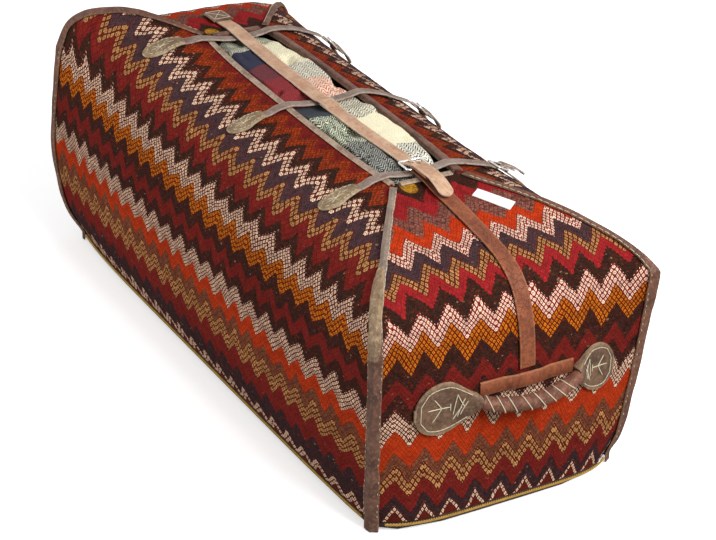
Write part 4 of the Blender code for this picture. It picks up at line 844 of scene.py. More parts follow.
binding = {
    "arm": 0.0115, "topArm": 0.0072, "stations": 150, "wobble": 0.0011, "stitch": 0.0115,
    "dash": 0.0050, "threadRadius": 0.00055,
    "foldTurns": (0.90, 1.36),
    "rimCover": {"front": 0.0052, "back": 0.0095, "right": 0.0060, "left": 0.0095},
    "finish": {"front_right": "binding", "back_right": "redBinding", "back_left": "redBinding",
               "front_left": "redBinding"},
}


def seamOut(turns, corner):   # outward way from the seam, in its own upright plane
    name = ("near" if corner[0] > 0 else "far") + ("_front" if corner[1] < 0 else "_back")
    turns = np.asarray(turns, float)
    low, high = np.maximum(0, turns - 0.03), np.minimum(2, turns + 0.03)
    run = unit(seamAt(high, name) - seamAt(low, name))
    plan = np.array([corner[0] * math.cos(bag["earAngle"]),
                     corner[1] * math.sin(bag["earAngle"]), 0])
    spot = seamAt(turns, name)
    mouth = np.array([corner[0] * bag["mouthHalfLength"], corner[1] * bag["mouthHalfWidth"], 0])
    up = np.array([0, 0, 1])
    place = mouth + plan * spot[..., :1] + up * spot[..., 1:]
    return place, plan * run[..., 1:] - up * run[..., :1]


def buildEarFold(wings, corner, seed):   # a wide end of the upper strip, folded over the ear
    (side, _, sideSign, _), (end, _, endSign, _) = wings
    at = np.linspace(*binding["foldTurns"], 44)
    share = np.linspace(0, 1, 44)
    swell = np.sqrt(np.clip(1 - np.abs(2 * share - 1) ** 2.2, 0.02, 1))
    spot, out = seamOut(at, corner)
    lift = strapping["stripClearance"] + 1.15 * strapping["stripThickness"]

    def wing(panel, sign, reach, up):
        v = panel.climb(at)
        return panel.above(sign * (panel.halfAt(v) - reach * swell), v, up)

    bump = softNoise(spot, 0.030, seed) * 0.0012
    top = [wing(side, sideSign, 0.0230, 0.0022),
           wing(side, sideSign, 0.0205, 0.0042 + bump),
           wing(side, sideSign, 0.0130, lift + 0.0012 + bump),
           wing(side, sideSign, 0.0060, lift + 0.0022 - bump),
           spot + out * (lift + 0.0034 + bump)[:, None],
           wing(end, endSign, 0.0040, lift + 0.0016 + bump),
           wing(end, endSign, 0.0062, lift + 0.0004)]
    under = [wing(end, endSign, 0.0050, lift - 0.0008), spot + out * (lift + 0.0014),
             wing(side, sideSign, 0.0120, lift - 0.0006), wing(side, sideSign, 0.0215, 0.0014)]
    buildTube("ear_fold_front_right", np.stack(top + under, 1), leathers["foldLeather"],
              "binding_leather", [1, 0.95, 0.4, 0, 0, 0.6, 1, 1, 0, 0.4, 1])


def buildCorner(label, corner, seed):
    side, end = (front if corner[1] < 0 else back), (right if corner[0] > 0 else left)
    turns = np.linspace(0.0, 1.955, binding["stations"])
    spot, out = seamOut(turns, corner)
    wide = np.interp(turns, [0, 0.88, 0.97, 1.03, 1.12, 2],
                     [binding["arm"], binding["arm"], 0.0105, 0.0100, binding["topArm"],
                      binding["topArm"]])
    clear = np.interp(turns, [0, 0.22, 0.30, 0.80, 0.88, 2],
                      np.array([1, 1, 0.5, 0.5, 1, 1]) * strapping["stripClearance"])
    thick = strapping["stripThickness"]
    wings = []
    for panel in (side, end):
        sign = corner[0] if panel.along == "x" else corner[1]
        ragged = softNoise(spot, 0.035, seed + len(wings)) * binding["wobble"]
        wings.append((panel, panel.climb(turns), sign, wide + ragged))

    def across(wing, share, lift):
        panel, v, sign, arm = wing
        return panel.above(sign * (panel.halfAt(v) - arm * share), v, lift)

    pucker = 0.00035 * np.cos(2 * math.pi * turns * wallRise / binding["stitch"])
    apex = spot + out * (clear + 1.45 * thick + softNoise(spot, 0.05, seed + 5) * 0.0006)[:, None]
    arms = [(0.5, clear), (0.97, clear * 0.75), (1.0, clear + 0.3 * thick),
            (0.94, clear + 0.72 * thick + pucker), (0.62, clear + 0.80 * thick),
            (0.28, clear + 1.05 * thick)]
    sections = np.stack([
        spot + out * clear[:, None], *(across(wings[0], *arm) for arm in arms), apex,
        *(across(wings[1], *arm) for arm in arms[::-1])], 1)
    foot = sections[:1].copy()
    foot[..., 2] = 0.0015
    sections = np.concatenate([foot, sections])
    buildTube("leather_corner_" + label, sections, leathers[binding["finish"][label]],
              "binding_leather", [0, 0.5, 1, 1, 0.9, 0.6, 0.3, 0, 0.3, 0.6, 0.9, 1, 1, 0.5],
              np.concatenate([[0], turns])[:, None] * wallRise,
              replaced="corner_binding_" + label)
    if label == "front_right":
        buildEarFold(wings, corner, seed + 7)
    # running stitch close to both edges
    stitches = MeshParts()
    sunk = np.array([0.0012, 0, -0.0002, 0, 0.0012])   # the thread dips in at both ends
    rng = np.random.default_rng(seed + 9)
    for panel, _, sign, arm in wings:
        for start in np.arange(0.012, wallRise * turns[-1] - 0.012, binding["stitch"]):
            high = start > wallRise
            if (high and panel is side) or (not high and rng.random() < 0.3):
                continue
            dash = 0.95 * binding["stitch"] if high else binding["dash"] * rng.uniform(0.7, 1.1)
            at = np.linspace(start, start + dash, 5) / wallRise
            v = panel.climb(at)
            s = sign * (panel.halfAt(v) - np.interp(at, turns, arm) * 0.78)
            lift = np.interp(at, turns, clear) + 0.80 * thick + 0.0002 - sunk
            stitches.thread(panel.above(s, v, lift), binding["threadRadius"])
    stitches.build("corner_stitches_" + label, paleThread, "binding_leather")


for seed, (label, corner) in enumerate((("front_right", (1, -1)), ("back_right", (1, 1)),
                                        ("back_left", (-1, 1)), ("front_left", (-1, -1)))):
    buildCorner(label, corner, 100 + 10 * seed)


def buildRim(label, panel, material, seed):
    reach = panel.mouthHalf - (0.004 if panel.along == "x" else 0.010)
    count = 150 if panel.along == "x" else 30
    s = np.linspace(-reach, reach, count + 1)
    top = np.full_like(s, panel.height)
    edge = panel.point(s, top)
    cover = binding["rimCover"][label]
    limit = panel.halfAt(panel.height - cover) - 0.010
    behind = panel.point(np.clip(s, -limit, limit), top - cover)
    normal = panel.normal(s, top - 0.004)
    inward = unit(edge - panel.point(s, top - 0.006))
    over, thick = strapping["panelClearance"], strapping["rimTop"]
    wave = softNoise(edge, 0.05, seed)[:, None] * 0.0005
    bottom = edge - normal * (strapping["panelThickness"] + 0.001)
    sections = np.stack([
        behind + normal * over, (behind + edge) / 2 + normal * over,
        edge + normal * over + inward * 0.0008, bottom + inward * 0.0008,
        bottom + inward * 0.0026 - normal * 0.0004, bottom + inward * 0.0038,
        edge - normal * 0.001 + inward * 0.0046,
        edge + normal * (over + 0.55 * thick) + inward * 0.0042,
        edge + normal * (over + thick) + inward * 0.0024,
        (behind + 2 * edge) / 3 + normal * (over + thick + wave),
        (2 * behind + edge) / 3 + normal * (over + 0.0026 + wave),
        behind + normal * (over + 0.0018)], 1)
    buildTube("leather_rim_" + label, sections, material, "binding_leather",
              [1, 0.5, 0.5, 0.7, 0.9, 1, 0.8, 0.5, 0.2, 0.3, 0.7, 1], s[:, None],
              replaced="rim_binding_" + label)


for label, panel, finish, seed in (
        ("front", front, "paleBinding", 151), ("back", back, "binding", 152),
        ("right", right, "paleBinding", 153), ("left", left, "binding", 154)):
    buildRim(label, panel, leathers[finish], seed)

cord = {"radius": 0.0026, "pitch": 0.0090, "ply": 0.00135, "setIn": 0.019}


def buildCord(label, panel):
    reach = panel.half - cord["setIn"]
    count = int(2 * reach / 0.0011)
    s = np.linspace(-reach, reach, count)
    out = panel.normal(s, 0 * s)
    out[:, 2] = 0
    out = unit(out)
    centre = panel.point(s, 0 * s) + out * cord["radius"]
    centre[:, 2] = bag["trayHeight"] - 1.4 * cord["radius"]
    up = np.array([[0, 0, 1.0]])
    parts = MeshParts()
    for strand in range(2):
        phase = s * 2 * math.pi / cord["pitch"] + strand * math.pi
        core = centre + cord["ply"] * 0.9 * (out * np.cos(phase)[:, None]
                                             + up * np.sin(phase)[:, None])
        parts.tube(rings(core, out, up, cord["ply"], 6))
    parts.build("twisted_cord_" + label, goldCord, "gold_cord",
                replaced="base_cord_" + label, smooth=None)


for label, panel in (("front", front), ("back", back), ("right", right), ("left", left)):
    buildCord(label, panel)
print("bindings and cords built")


# straps and buckles

flatProfile = np.array([   # a flat strap in section: across from -1 to 1, up from 0 to 1
    (-1, 0.2), (-0.97, 0), (-0.5, 0), (0, 0), (0.5, 0), (0.97, 0), (1, 0.2), (1, 0.72),
    (0.95, 0.96), (0.8, 1.0), (0.4, 1.0), (0, 1.0), (-0.4, 1.0), (-0.8, 1.0), (-0.95, 0.96),
    (-1, 0.72)])


def flatSections(route, side, up, half, lift):   # lift: how high each point of the profile is
    return (route[:, None] + side[:, None] * (half[:, None] * flatProfile[:, 0])[..., None]
            + up[:, None] * lift[..., None])


def buildStrap(name, route, hints, width, thickness, material, slot, replaced, seed, soften,
               ends=(0, 0)):
    route, extra, reach = smoothPath(route, soften=soften, extra=[hints])
    run = unit(np.gradient(route, axis=0))
    side = unit(extra[0] - run * (extra[0] * run).sum(-1, keepdims=True))
    up = unit(np.cross(run, side))
    half = width / 2 + softNoise(route, 0.06, seed) * 0.0003
    for distance, tip in ((reach, ends[0]), (reach[-1] - reach, ends[1])):
        if tip:
            half *= np.sqrt(np.clip(1 - (1 - np.clip(distance / tip, 0, 1)) ** 2, 0.02, 1))
    curl = softNoise(route, 0.09, seed + 1) * 0.0004
    across, lift = flatProfile.T
    cup = np.maximum(curl[:, None] * across ** 2 * 0.8, 0)
    return buildTube(name, flatSections(route, side, up, half, thickness * lift + cup), material,
                     slot, across, reach[:, None], replaced=replaced)


def cutSlot(obj, centre, along, across, up, size, depth):
    cube = bpy.data.meshes.new("slotCutter")
    corners = [(x, y, z) for x in (-0.5, 0.5) for y in (-0.5, 0.5) for z in (-0.5, 0.5)]
    spots = [np.asarray(centre) + np.asarray(along) * c[0] * size[0]
             + np.asarray(across) * c[1] * size[1] + np.asarray(up) * c[2] * depth
             for c in corners]
    cube.from_pydata(settled(spots).tolist(), [], [
        (0, 1, 3, 2), (4, 6, 7, 5), (0, 4, 5, 1), (2, 3, 7, 6), (0, 2, 6, 4), (1, 5, 7, 3)])
    fixNormals(cube)
    cutter = addObject("slotCutter", cube)
    cut = obj.modifiers.new("slot", "BOOLEAN")
    cut.operation, cut.solver, cut.object = "DIFFERENCE", "EXACT", cutter
    mesh = bake(obj)
    bpy.data.objects.remove(cutter, do_unlink=True)
    mesh.shade_smooth()
    mesh.set_sharp_from_angle(angle=math.radians(45))


class Buckle:

    def __init__(self, name, size, heel, along, up, strapThickness):
        self.name, self.size, self.thickness = name, size, strapThickness
        self.along = unit(along)
        self.up = unit(np.asarray(up) - self.along * np.dot(up, self.along))
        self.across = np.cross(self.up, self.along)
        self.heel = np.asarray(heel, float)
        wire, gap, prong = strapping["wire"], strapping["gap"], strapping["prong"]
        self.under = -wire - gap - strapThickness
        self.over = wire + gap
        self.eye = max(wire + 2 * gap + 2 * prong + 0.0002, self.over + strapThickness + gap)

    def spot(self, along, up, across=0.0):
        return self.heel + self.along * along + self.up * up + self.across * across

    def build(self, body):
        parts, corner, radius = MeshParts(), strapping["frameBend"], strapping["wire"]
        halfLong, halfWide = self.size[0] / 2, self.size[1] / 2
        path = []
        for cx, cy, start in ((1, 1, 0), (-1, 1, 90), (-1, -1, 180), (1, -1, 270)):
            for turn in np.linspace(0, 90, 7):
                a = math.radians(start + turn)
                path.append(((halfLong - corner) * cx + corner * math.cos(a) - halfLong,
                             (halfWide - corner) * cy + corner * math.sin(a)))
        path = np.array(path)
        run = unit(np.roll(path, -1, 0) - np.roll(path, 1, 0))
        out = np.stack([run[:, 1], -run[:, 0]], -1)
        centres, away = (p[:, :1] * self.along + p[:, 1:] * self.across for p in (path, out))
        parts.tube(rings(self.heel + centres, away, self.up[None], radius, 14), closed=True)
        parts.build(self.name + "_nickel_frame", nickel, "nickel",
                    replaced=self.name + "_buckle_frame")
        prong = strapping["prong"]
        eye = radius + strapping["gap"] + prong
        path = [(eye * math.cos(a), eye * math.sin(a))
                for a in np.linspace(math.radians(-150), math.radians(90), 19)]
        reach = self.size[0]
        path += [(-k * reach, eye) for k in (0.2, 0.35, 0.5, 0.7, 0.85)]
        path = np.array([*path, (-reach - strapping["prongOver"], eye)])
        run = unit(np.gradient(path, axis=0))
        thin = np.ones((len(path), 1, 1))
        thin[-1] = 0.75
        spots = self.heel + path[:, :1] * self.along + path[:, 1:] * self.up
        away = run[:, :1] * self.up - run[:, 1:] * self.along
        parts = MeshParts()
        parts.tube(rings(spots, away, self.across[None], thin * prong, 10))
        parts.build(self.name + "_nickel_prong", nickel, "nickel", body,
                    replaced=self.name + "_buckle_prong")


def buildChape(name, node, buckle, tail, width, foldBack, material, slot, seed):
    # a strap folded round the heel bar; its tail runs off below
    inner, thick = strapping["wire"] + strapping["gap"], buckle.thickness
    route, ups = [buckle.spot(foldBack, buckle.over - 0.0002),
                  buckle.spot(foldBack * 0.5, buckle.over)], [buckle.up, buckle.up]
    for a in np.linspace(math.radians(90), math.radians(270), 13):
        route.append(buckle.spot(-abs(math.cos(a)) * inner, math.sin(a) * inner))
        ups.append(unit(-buckle.along * abs(math.cos(a)) + buckle.up * math.sin(a)))
    count = len(route)
    route += [np.asarray(p) + np.asarray(n) * thick for p, n in tail]
    ups += [-np.asarray(n) for _, n in tail]
    reach = reachOf(route)
    at = np.unique(np.concatenate([reach[:count], np.arange(reach[count - 1], reach[-1], 0.0035),
                                   reach[-1:]]))
    route, ups = (readAt(at, reach, table) for table in (route, ups))
    smooth, extra, _ = smoothPath(route[count:], 0.0035, 0.006, [ups[count:]])
    route = np.vstack([route[:count], smooth])
    ups = unit(np.vstack([ups[:count], extra[0]]))
    run = unit(np.gradient(route, axis=0))
    side = unit(np.cross(ups, run))
    side = side * np.sign((side * buckle.across).sum(-1, keepdims=True))
    half = width / 2 + softNoise(route, 0.06, seed) * 0.0003
    across, lift = flatProfile.T
    obj = buildTube(name, flatSections(route, side, ups, half, thick * lift[None]), material, slot,
                    across, np.linspace(0, reach[-1], len(route))[:, None], replaced=node)
    cutSlot(obj, buckle.spot(-0.001, 0), buckle.along, buckle.across, buckle.up,
            (0.016, strapping["slot"]), 0.016)


cross = {
    "x": (-0.300, 0.002, 0.296), "names": ("far", "middle", "near"),
    "drop": (0.152, 0.152, 0.096), "size": (0.024, 0.028),
    "tabRoot": 0.040, "tabLength": 0.062, "tabWidth": 0.037,
}


def leafWidth(share):
    share = np.asarray(share, float)
    roundEnd = np.sqrt(np.maximum(0, 1 - (1 - np.minimum(1, share / 0.42)) ** 2))
    taper = 1 - 0.42 * np.maximum(0, (share - 0.42) / 0.58) ** 1.5
    return np.maximum(0.30 * np.minimum(1, 0.2 + share * 9), roundEnd * taper)


def buildCross(index, seed):
    name, x0, drop = cross["names"][index], cross["x"][index], cross["drop"][index]
    thick, rise, height = strapping["crossThickness"], strapping["rise"], back.height
    rimTop = bag["mouthHeight"] + rise

    def slanted(v):
        return x0 - strapping["crossSlant"] * np.clip((height - v) / 0.11, 0, 1)

    heelV = height - drop
    along = back.point(slanted(heelV - 0.012), heelV - 0.012)
    along = along - back.point(slanted(heelV + 0.012), heelV + 0.012)
    stack = lies + thick + strapping["gap"] + strapping["wire"]
    heel = back.above(slanted(heelV), heelV, stack + 0.0016)
    buckle = Buckle("cross_" + name, cross["size"], heel, along,
                    back.normal(slanted(heelV), heelV), thick)
    buckle.build(name + "_prong")
    tail = [(buckle.spot(0.006, buckle.under), buckle.up)]
    for d in (0.016, 0.030, 0.047, 0.064):
        v = heelV - d
        tail.append((back.above(slanted(v), v, lies), back.normal(slanted(v), v)))
    buildChape("grey_chape_" + name, "cross_" + name + "_chape", buckle, tail,
               strapping["crossWidth"], 0.018, leathers["greyStrap"], "grey_strap_leather", seed)

    rootV = height - cross["tabRoot"] - 0.24 * cross["tabLength"]
    nearV = height - strapping["rimWidth"] - 0.004
    route, hints = [], []
    for v in (*np.linspace(rootV, height - 0.030, 3), nearV):
        route.append(front.above(slanted(v), v, rise if v == nearV else lies))
        hints.append(-front.level(slanted(v), v))
    spread = abs(front.point(x0, height)[1])
    for share in (-1, -0.72, -0.3, 0.3, 0.72, 1):
        route.append(np.array([x0, share * (spread - 0.004),
                               rimTop - strapping["crossDip"] * (1 - share ** 2)]))
        hints.append((-1, 0, 0))
    gap = buckle.size[0]
    route.append(back.above(slanted(nearV), nearV, rise))
    hints.append(-back.level(slanted(nearV), nearV))
    for share in np.linspace(0, 1, 4 if drop > 0.12 else 2)[1:-1]:
        v = nearV + (heelV + gap + 0.014 - nearV) * share
        route.append(back.above(slanted(v), v, lies + (rise - lies) * (1 - share)))
        hints.append(-back.level(slanted(v), v))
    under = -strapping["wire"] - strapping["gap"] - thick
    route += [buckle.spot(-gap - 0.012, under), buckle.spot(-gap + 0.003, under),
              buckle.spot(-0.40 * gap, 0.45 * buckle.eye + 0.55 * under),
              buckle.spot(-0.004, buckle.eye), buckle.spot(0.008, buckle.eye),
              buckle.spot(0.020, buckle.eye),
              buckle.spot(0.034, buckle.over + thick + strapping["gap"]),
              buckle.spot(0.048, buckle.over - 0.001)]
    wayAcross = -buckle.across if buckle.across[0] > 0 else buckle.across
    hints += [wayAcross] * (len(route) - len(hints))
    strap = buildStrap("grey_strap_" + name, route, hints, strapping["crossWidth"] * 0.94, thick,
                       leathers["greyStrap"], "grey_strap_leather", "cross_strap_" + name,
                       seed + 1, soften=0.0035, ends=(0, 0.010))
    cutSlot(strap, buckle.spot(-0.35 * gap, 0.5 * buckle.eye + 0.5 * under), buckle.along,
            buckle.across, buckle.up, (0.84 * gap, strapping["slot"]), 0.02)
    buildLeafTab(name, slanted, height, seed + 2)


def buildLeafTab(name, slanted, height, seed):
    thick = strapping["patchThickness"]
    overStrap = lies + strapping["crossThickness"] + 3 * strapping["gap"]
    share = np.concatenate([[0, 0.012, 0.03], np.linspace(0.05, 1, 40)])

    def surface(share, c, lift):
        share = np.asarray(share, float)
        v = height - cross["tabRoot"] - cross["tabLength"] * (1 - share)
        half = cross["tabWidth"] / 2 * leafWidth(share)
        blend = np.clip((share - 0.50) / 0.12, 0, 1) * np.clip(1.3 - np.abs(c) * 0.6, 0, 1)
        base = lies + (overStrap - lies) * blend
        x = slanted(np.minimum(v, height)) + c * half
        return front.above(x, v, base + lift)

    rows = []
    for c, lift in ((-1, 0), (-0.5, 0), (0, 0), (0.5, 0), (1, 0), (1.0, 0.5 * thick),
                    (0.93, 0.92 * thick), (0.75, thick), (0.4, 1.12 * thick), (0, 1.15 * thick),
                    (-0.4, 1.12 * thick), (-0.75, thick), (-0.93, 0.92 * thick),
                    (-1.0, 0.5 * thick)):
        wave = softNoise(np.stack([share, share * 0 + c, share * 0], -1), 0.35, seed) * 0.0004
        rows.append(surface(share, c, lift + (wave if lift > thick * 0.9 else 0)))
    edges = np.tile([-1, -0.5, 0, 0.5, 1, 1, 0.93, 0.75, 0.4, 0, -0.4, -0.75, -0.93, -1],
                    (len(share), 1))
    edges[:3] = 1
    buildTube("leather_leaf_" + name, np.stack(rows, 1), leathers["tabLeather"],
              "patch_leather", edges, replaced="leaf_tab_" + name)
    thread = MeshParts()
    at = np.concatenate([np.linspace(0.95, 0.14, 24), np.linspace(0.14, 0.95, 24)])
    c = np.concatenate([np.full(24, -0.74), np.full(24, 0.74)])
    loop = surface(at, c * np.clip(at * 3.4, 0.35, 1), thick + 0.0002)
    for k in range(0, len(loop) - 2, 3):
        thread.thread(smoothPath(loop[k:k + 3], 0.0012, 0.0)[0], 0.0005)
    for a, b in (((0.30, -0.35), (0.66, 0.30)), ((0.30, 0.35), (0.66, -0.30)),
                 ((0.22, 0.0), (0.80, 0.0)), ((0.45, -0.55), (0.45, 0.55))):
        line = np.linspace(a, b, 9)
        thread.thread(surface(line[:, 0], line[:, 1], thick * 1.12 + 0.0002), 0.00045)
    thread.build("leaf_thread_" + name, paleThread, "patch_leather")


for index in range(3):
    buildCross(index, 200 + 10 * index)

longStrap = {"size": (0.030, 0.040), "buckleX": 0.288, "spliceX": 0.045, "stop": 0.230,
             "tabRoot": 0.047, "tabLength": 0.048, "tabHalf": 0.019, "tabThickness": 0.0028}


def buildLong():
    thick, width = strapping["longThickness"], strapping["longWidth"]
    rimTop = bag["mouthHeight"] + strapping["rise"]
    level = (rimTop - strapping["crossDip"] * 0.5 + strapping["crossThickness"]
             + strapping["gap"])
    size = longStrap["size"]
    heel = (longStrap["buckleX"] + size[0] / 2, 0, level + thick + strapping["gap"]
            + strapping["wire"])
    buckle = Buckle("long", size, heel, (1, 0, 0), (0, 0, 1), thick)
    buckle.build("long_prong")
    under, over, eye = buckle.under, buckle.over, buckle.eye
    height, stopV = right.height, longStrap["stop"]
    tail = [(buckle.spot(0.010, under), buckle.up),
            (np.array([bag["mouthHalfLength"] + 0.014, 0, level - 0.0008]), np.array([0, 0, 1]))]
    for v in np.linspace(height - 0.040, stopV, 26):
        s = 0.016 * (height - v) / (height - stopV)
        tail.append((right.above(s, v, lies), right.normal(s, v)))
    buildChape("red_strap_lower", "long_strap_lower", buckle, tail, width, 0.040,
               leathers["redStrap"], "red_strap_leather", 301)

    splice = longStrap["spliceX"]
    route = [np.array([x, y, level]) for x, y in
             ((splice - 0.022, -0.008), (0.11, -0.007), (0.18, -0.004), (0.245, 0.0))]
    route += [buckle.spot(-size[0] - 0.006, under), buckle.spot(-size[0] + 0.003, under),
              buckle.spot(-0.45 * size[0], 0.45 * eye + 0.55 * under),
              buckle.spot(-0.004, eye), buckle.spot(0.012, eye), buckle.spot(0.046, eye),
              buckle.spot(0.062, over - 0.0005), buckle.spot(0.088, over - 0.012)]
    tongue = buildStrap("pale_strap_tongue", route, [(0, 1, 0)] * len(route), width * 0.94, thick,
                        leathers["paleStrap"], "pale_strap_leather", "long_strap_tongue", 302,
                        soften=0.0035, ends=(0, 0.014))
    cutSlot(tongue, buckle.spot(-0.35 * size[0], 0.5 * eye + 0.5 * under), buckle.along,
            buckle.across, buckle.up, (0.84 * size[0], strapping["slot"]), 0.02)
    tabTop = left.height - longStrap["tabRoot"]
    tabFoot = tabTop - longStrap["tabLength"]
    route = [left.above(0, v, lies) for v in np.linspace(tabFoot + 0.016, tabTop + 0.002, 3)]
    lap = level + thick + strapping["gap"]
    route += [np.array(spot) for spot in (
        (-bag["mouthHalfLength"] - 0.012, 0, level), (-0.270, -0.003, level),
        (-0.16, -0.007, level), (-0.06, -0.008, level), (0.005, -0.008, level),
        (splice - 0.028, -0.008, lap), (splice, -0.008, lap))]
    buildStrap("pale_strap_upper", route, [(0, 1, 0)] * len(route), width, thick,
               leathers["paleStrap"], "pale_strap_leather", "long_strap_upper", 303, soften=0.004)
    # square tab over the root of the strap
    v = np.linspace(tabFoot, tabTop, 30)
    base = lies + (thick + strapping["gap"]) * np.clip((v - tabFoot - 0.003) / 0.004, 0, 1)
    profile = [(-1, 0), (-0.5, 0), (0, 0), (0.5, 0), (1, 0), (1, 0.0013), (0.94, 0.0023),
               (0.6, 0.0026), (0, longStrap["tabThickness"]), (-0.6, 0.0026), (-0.94, 0.0023),
               (-1, 0.0013)]
    rows = [left.above(c * longStrap["tabHalf"], v, base + lift) for c, lift in profile]
    buildTube("square_tab", np.stack(rows, 1), leathers["patch"], "patch_leather",
              [c for c, _ in profile], replaced="long_strap_tab")
    thread = MeshParts()
    corners = np.array([(-0.80, 0.12), (-0.80, 0.88), (0.80, 0.88), (0.80, 0.12), (-0.80, 0.12)])
    for a, b in [*zip(corners, corners[1:]), (corners[0], corners[2]), (corners[1], corners[3])]:
        line = np.linspace(a, b, 14)
        thread.thread(left.above(line[:, 0] * longStrap["tabHalf"],
                                 tabFoot + longStrap["tabLength"] * line[:, 1],
                                 lies + thick + strapping["gap"] + longStrap["tabThickness"]),
                      0.0005)
    thread.build("square_tab_thread", paleThread, "patch_leather")


buildLong()
print("straps and buckles built")


# handles

handle = {
    "neckHeight": 0.216, "neckSpread": 0.086, "shift": 0.017, "radius": 0.0125, "sag": 0.014,
    "standOff": 0.012, "neckStandOff": 0.0155, "stripWidth": 0.024,
    "laces": (-0.057, -0.040, -0.022, 0.002, 0.024, 0.043, 0.061, 0.080), "laceRadius": 0.0009,
    "leaves": {"front": (-1, 0.104, 0.090), "back": (1, 0.078, 0.086)},   # way out, length, width
}


def gripLine(turn, share, neckX):
    bow = 1 - share ** 2
    return np.stack([turn * (neckX + handle["standOff"] * bow),
                     turn * handle["shift"] + share * handle["neckSpread"],
                     handle["neckHeight"] - handle["sag"] * bow], -1)


def gripRings(turn, share, neckX, swell=0.0):   # middle line, its two square ways and radius
    centre = gripLine(turn, share, neckX)
    run = unit(np.stack([turn * -2 * share * handle["standOff"] / handle["neckSpread"],
                         share * 0 + 1, 2 * share * handle["sag"] / handle["neckSpread"]], -1))
    out = unit(np.cross(run, np.array([0, 0, 1.0])))
    up = np.cross(out, run)
    radius = handle["radius"] * (0.78 + 0.22 * np.sqrt(np.maximum(0, 1 - share ** 2)))
    return centre, out, up, radius[:, None] + swell


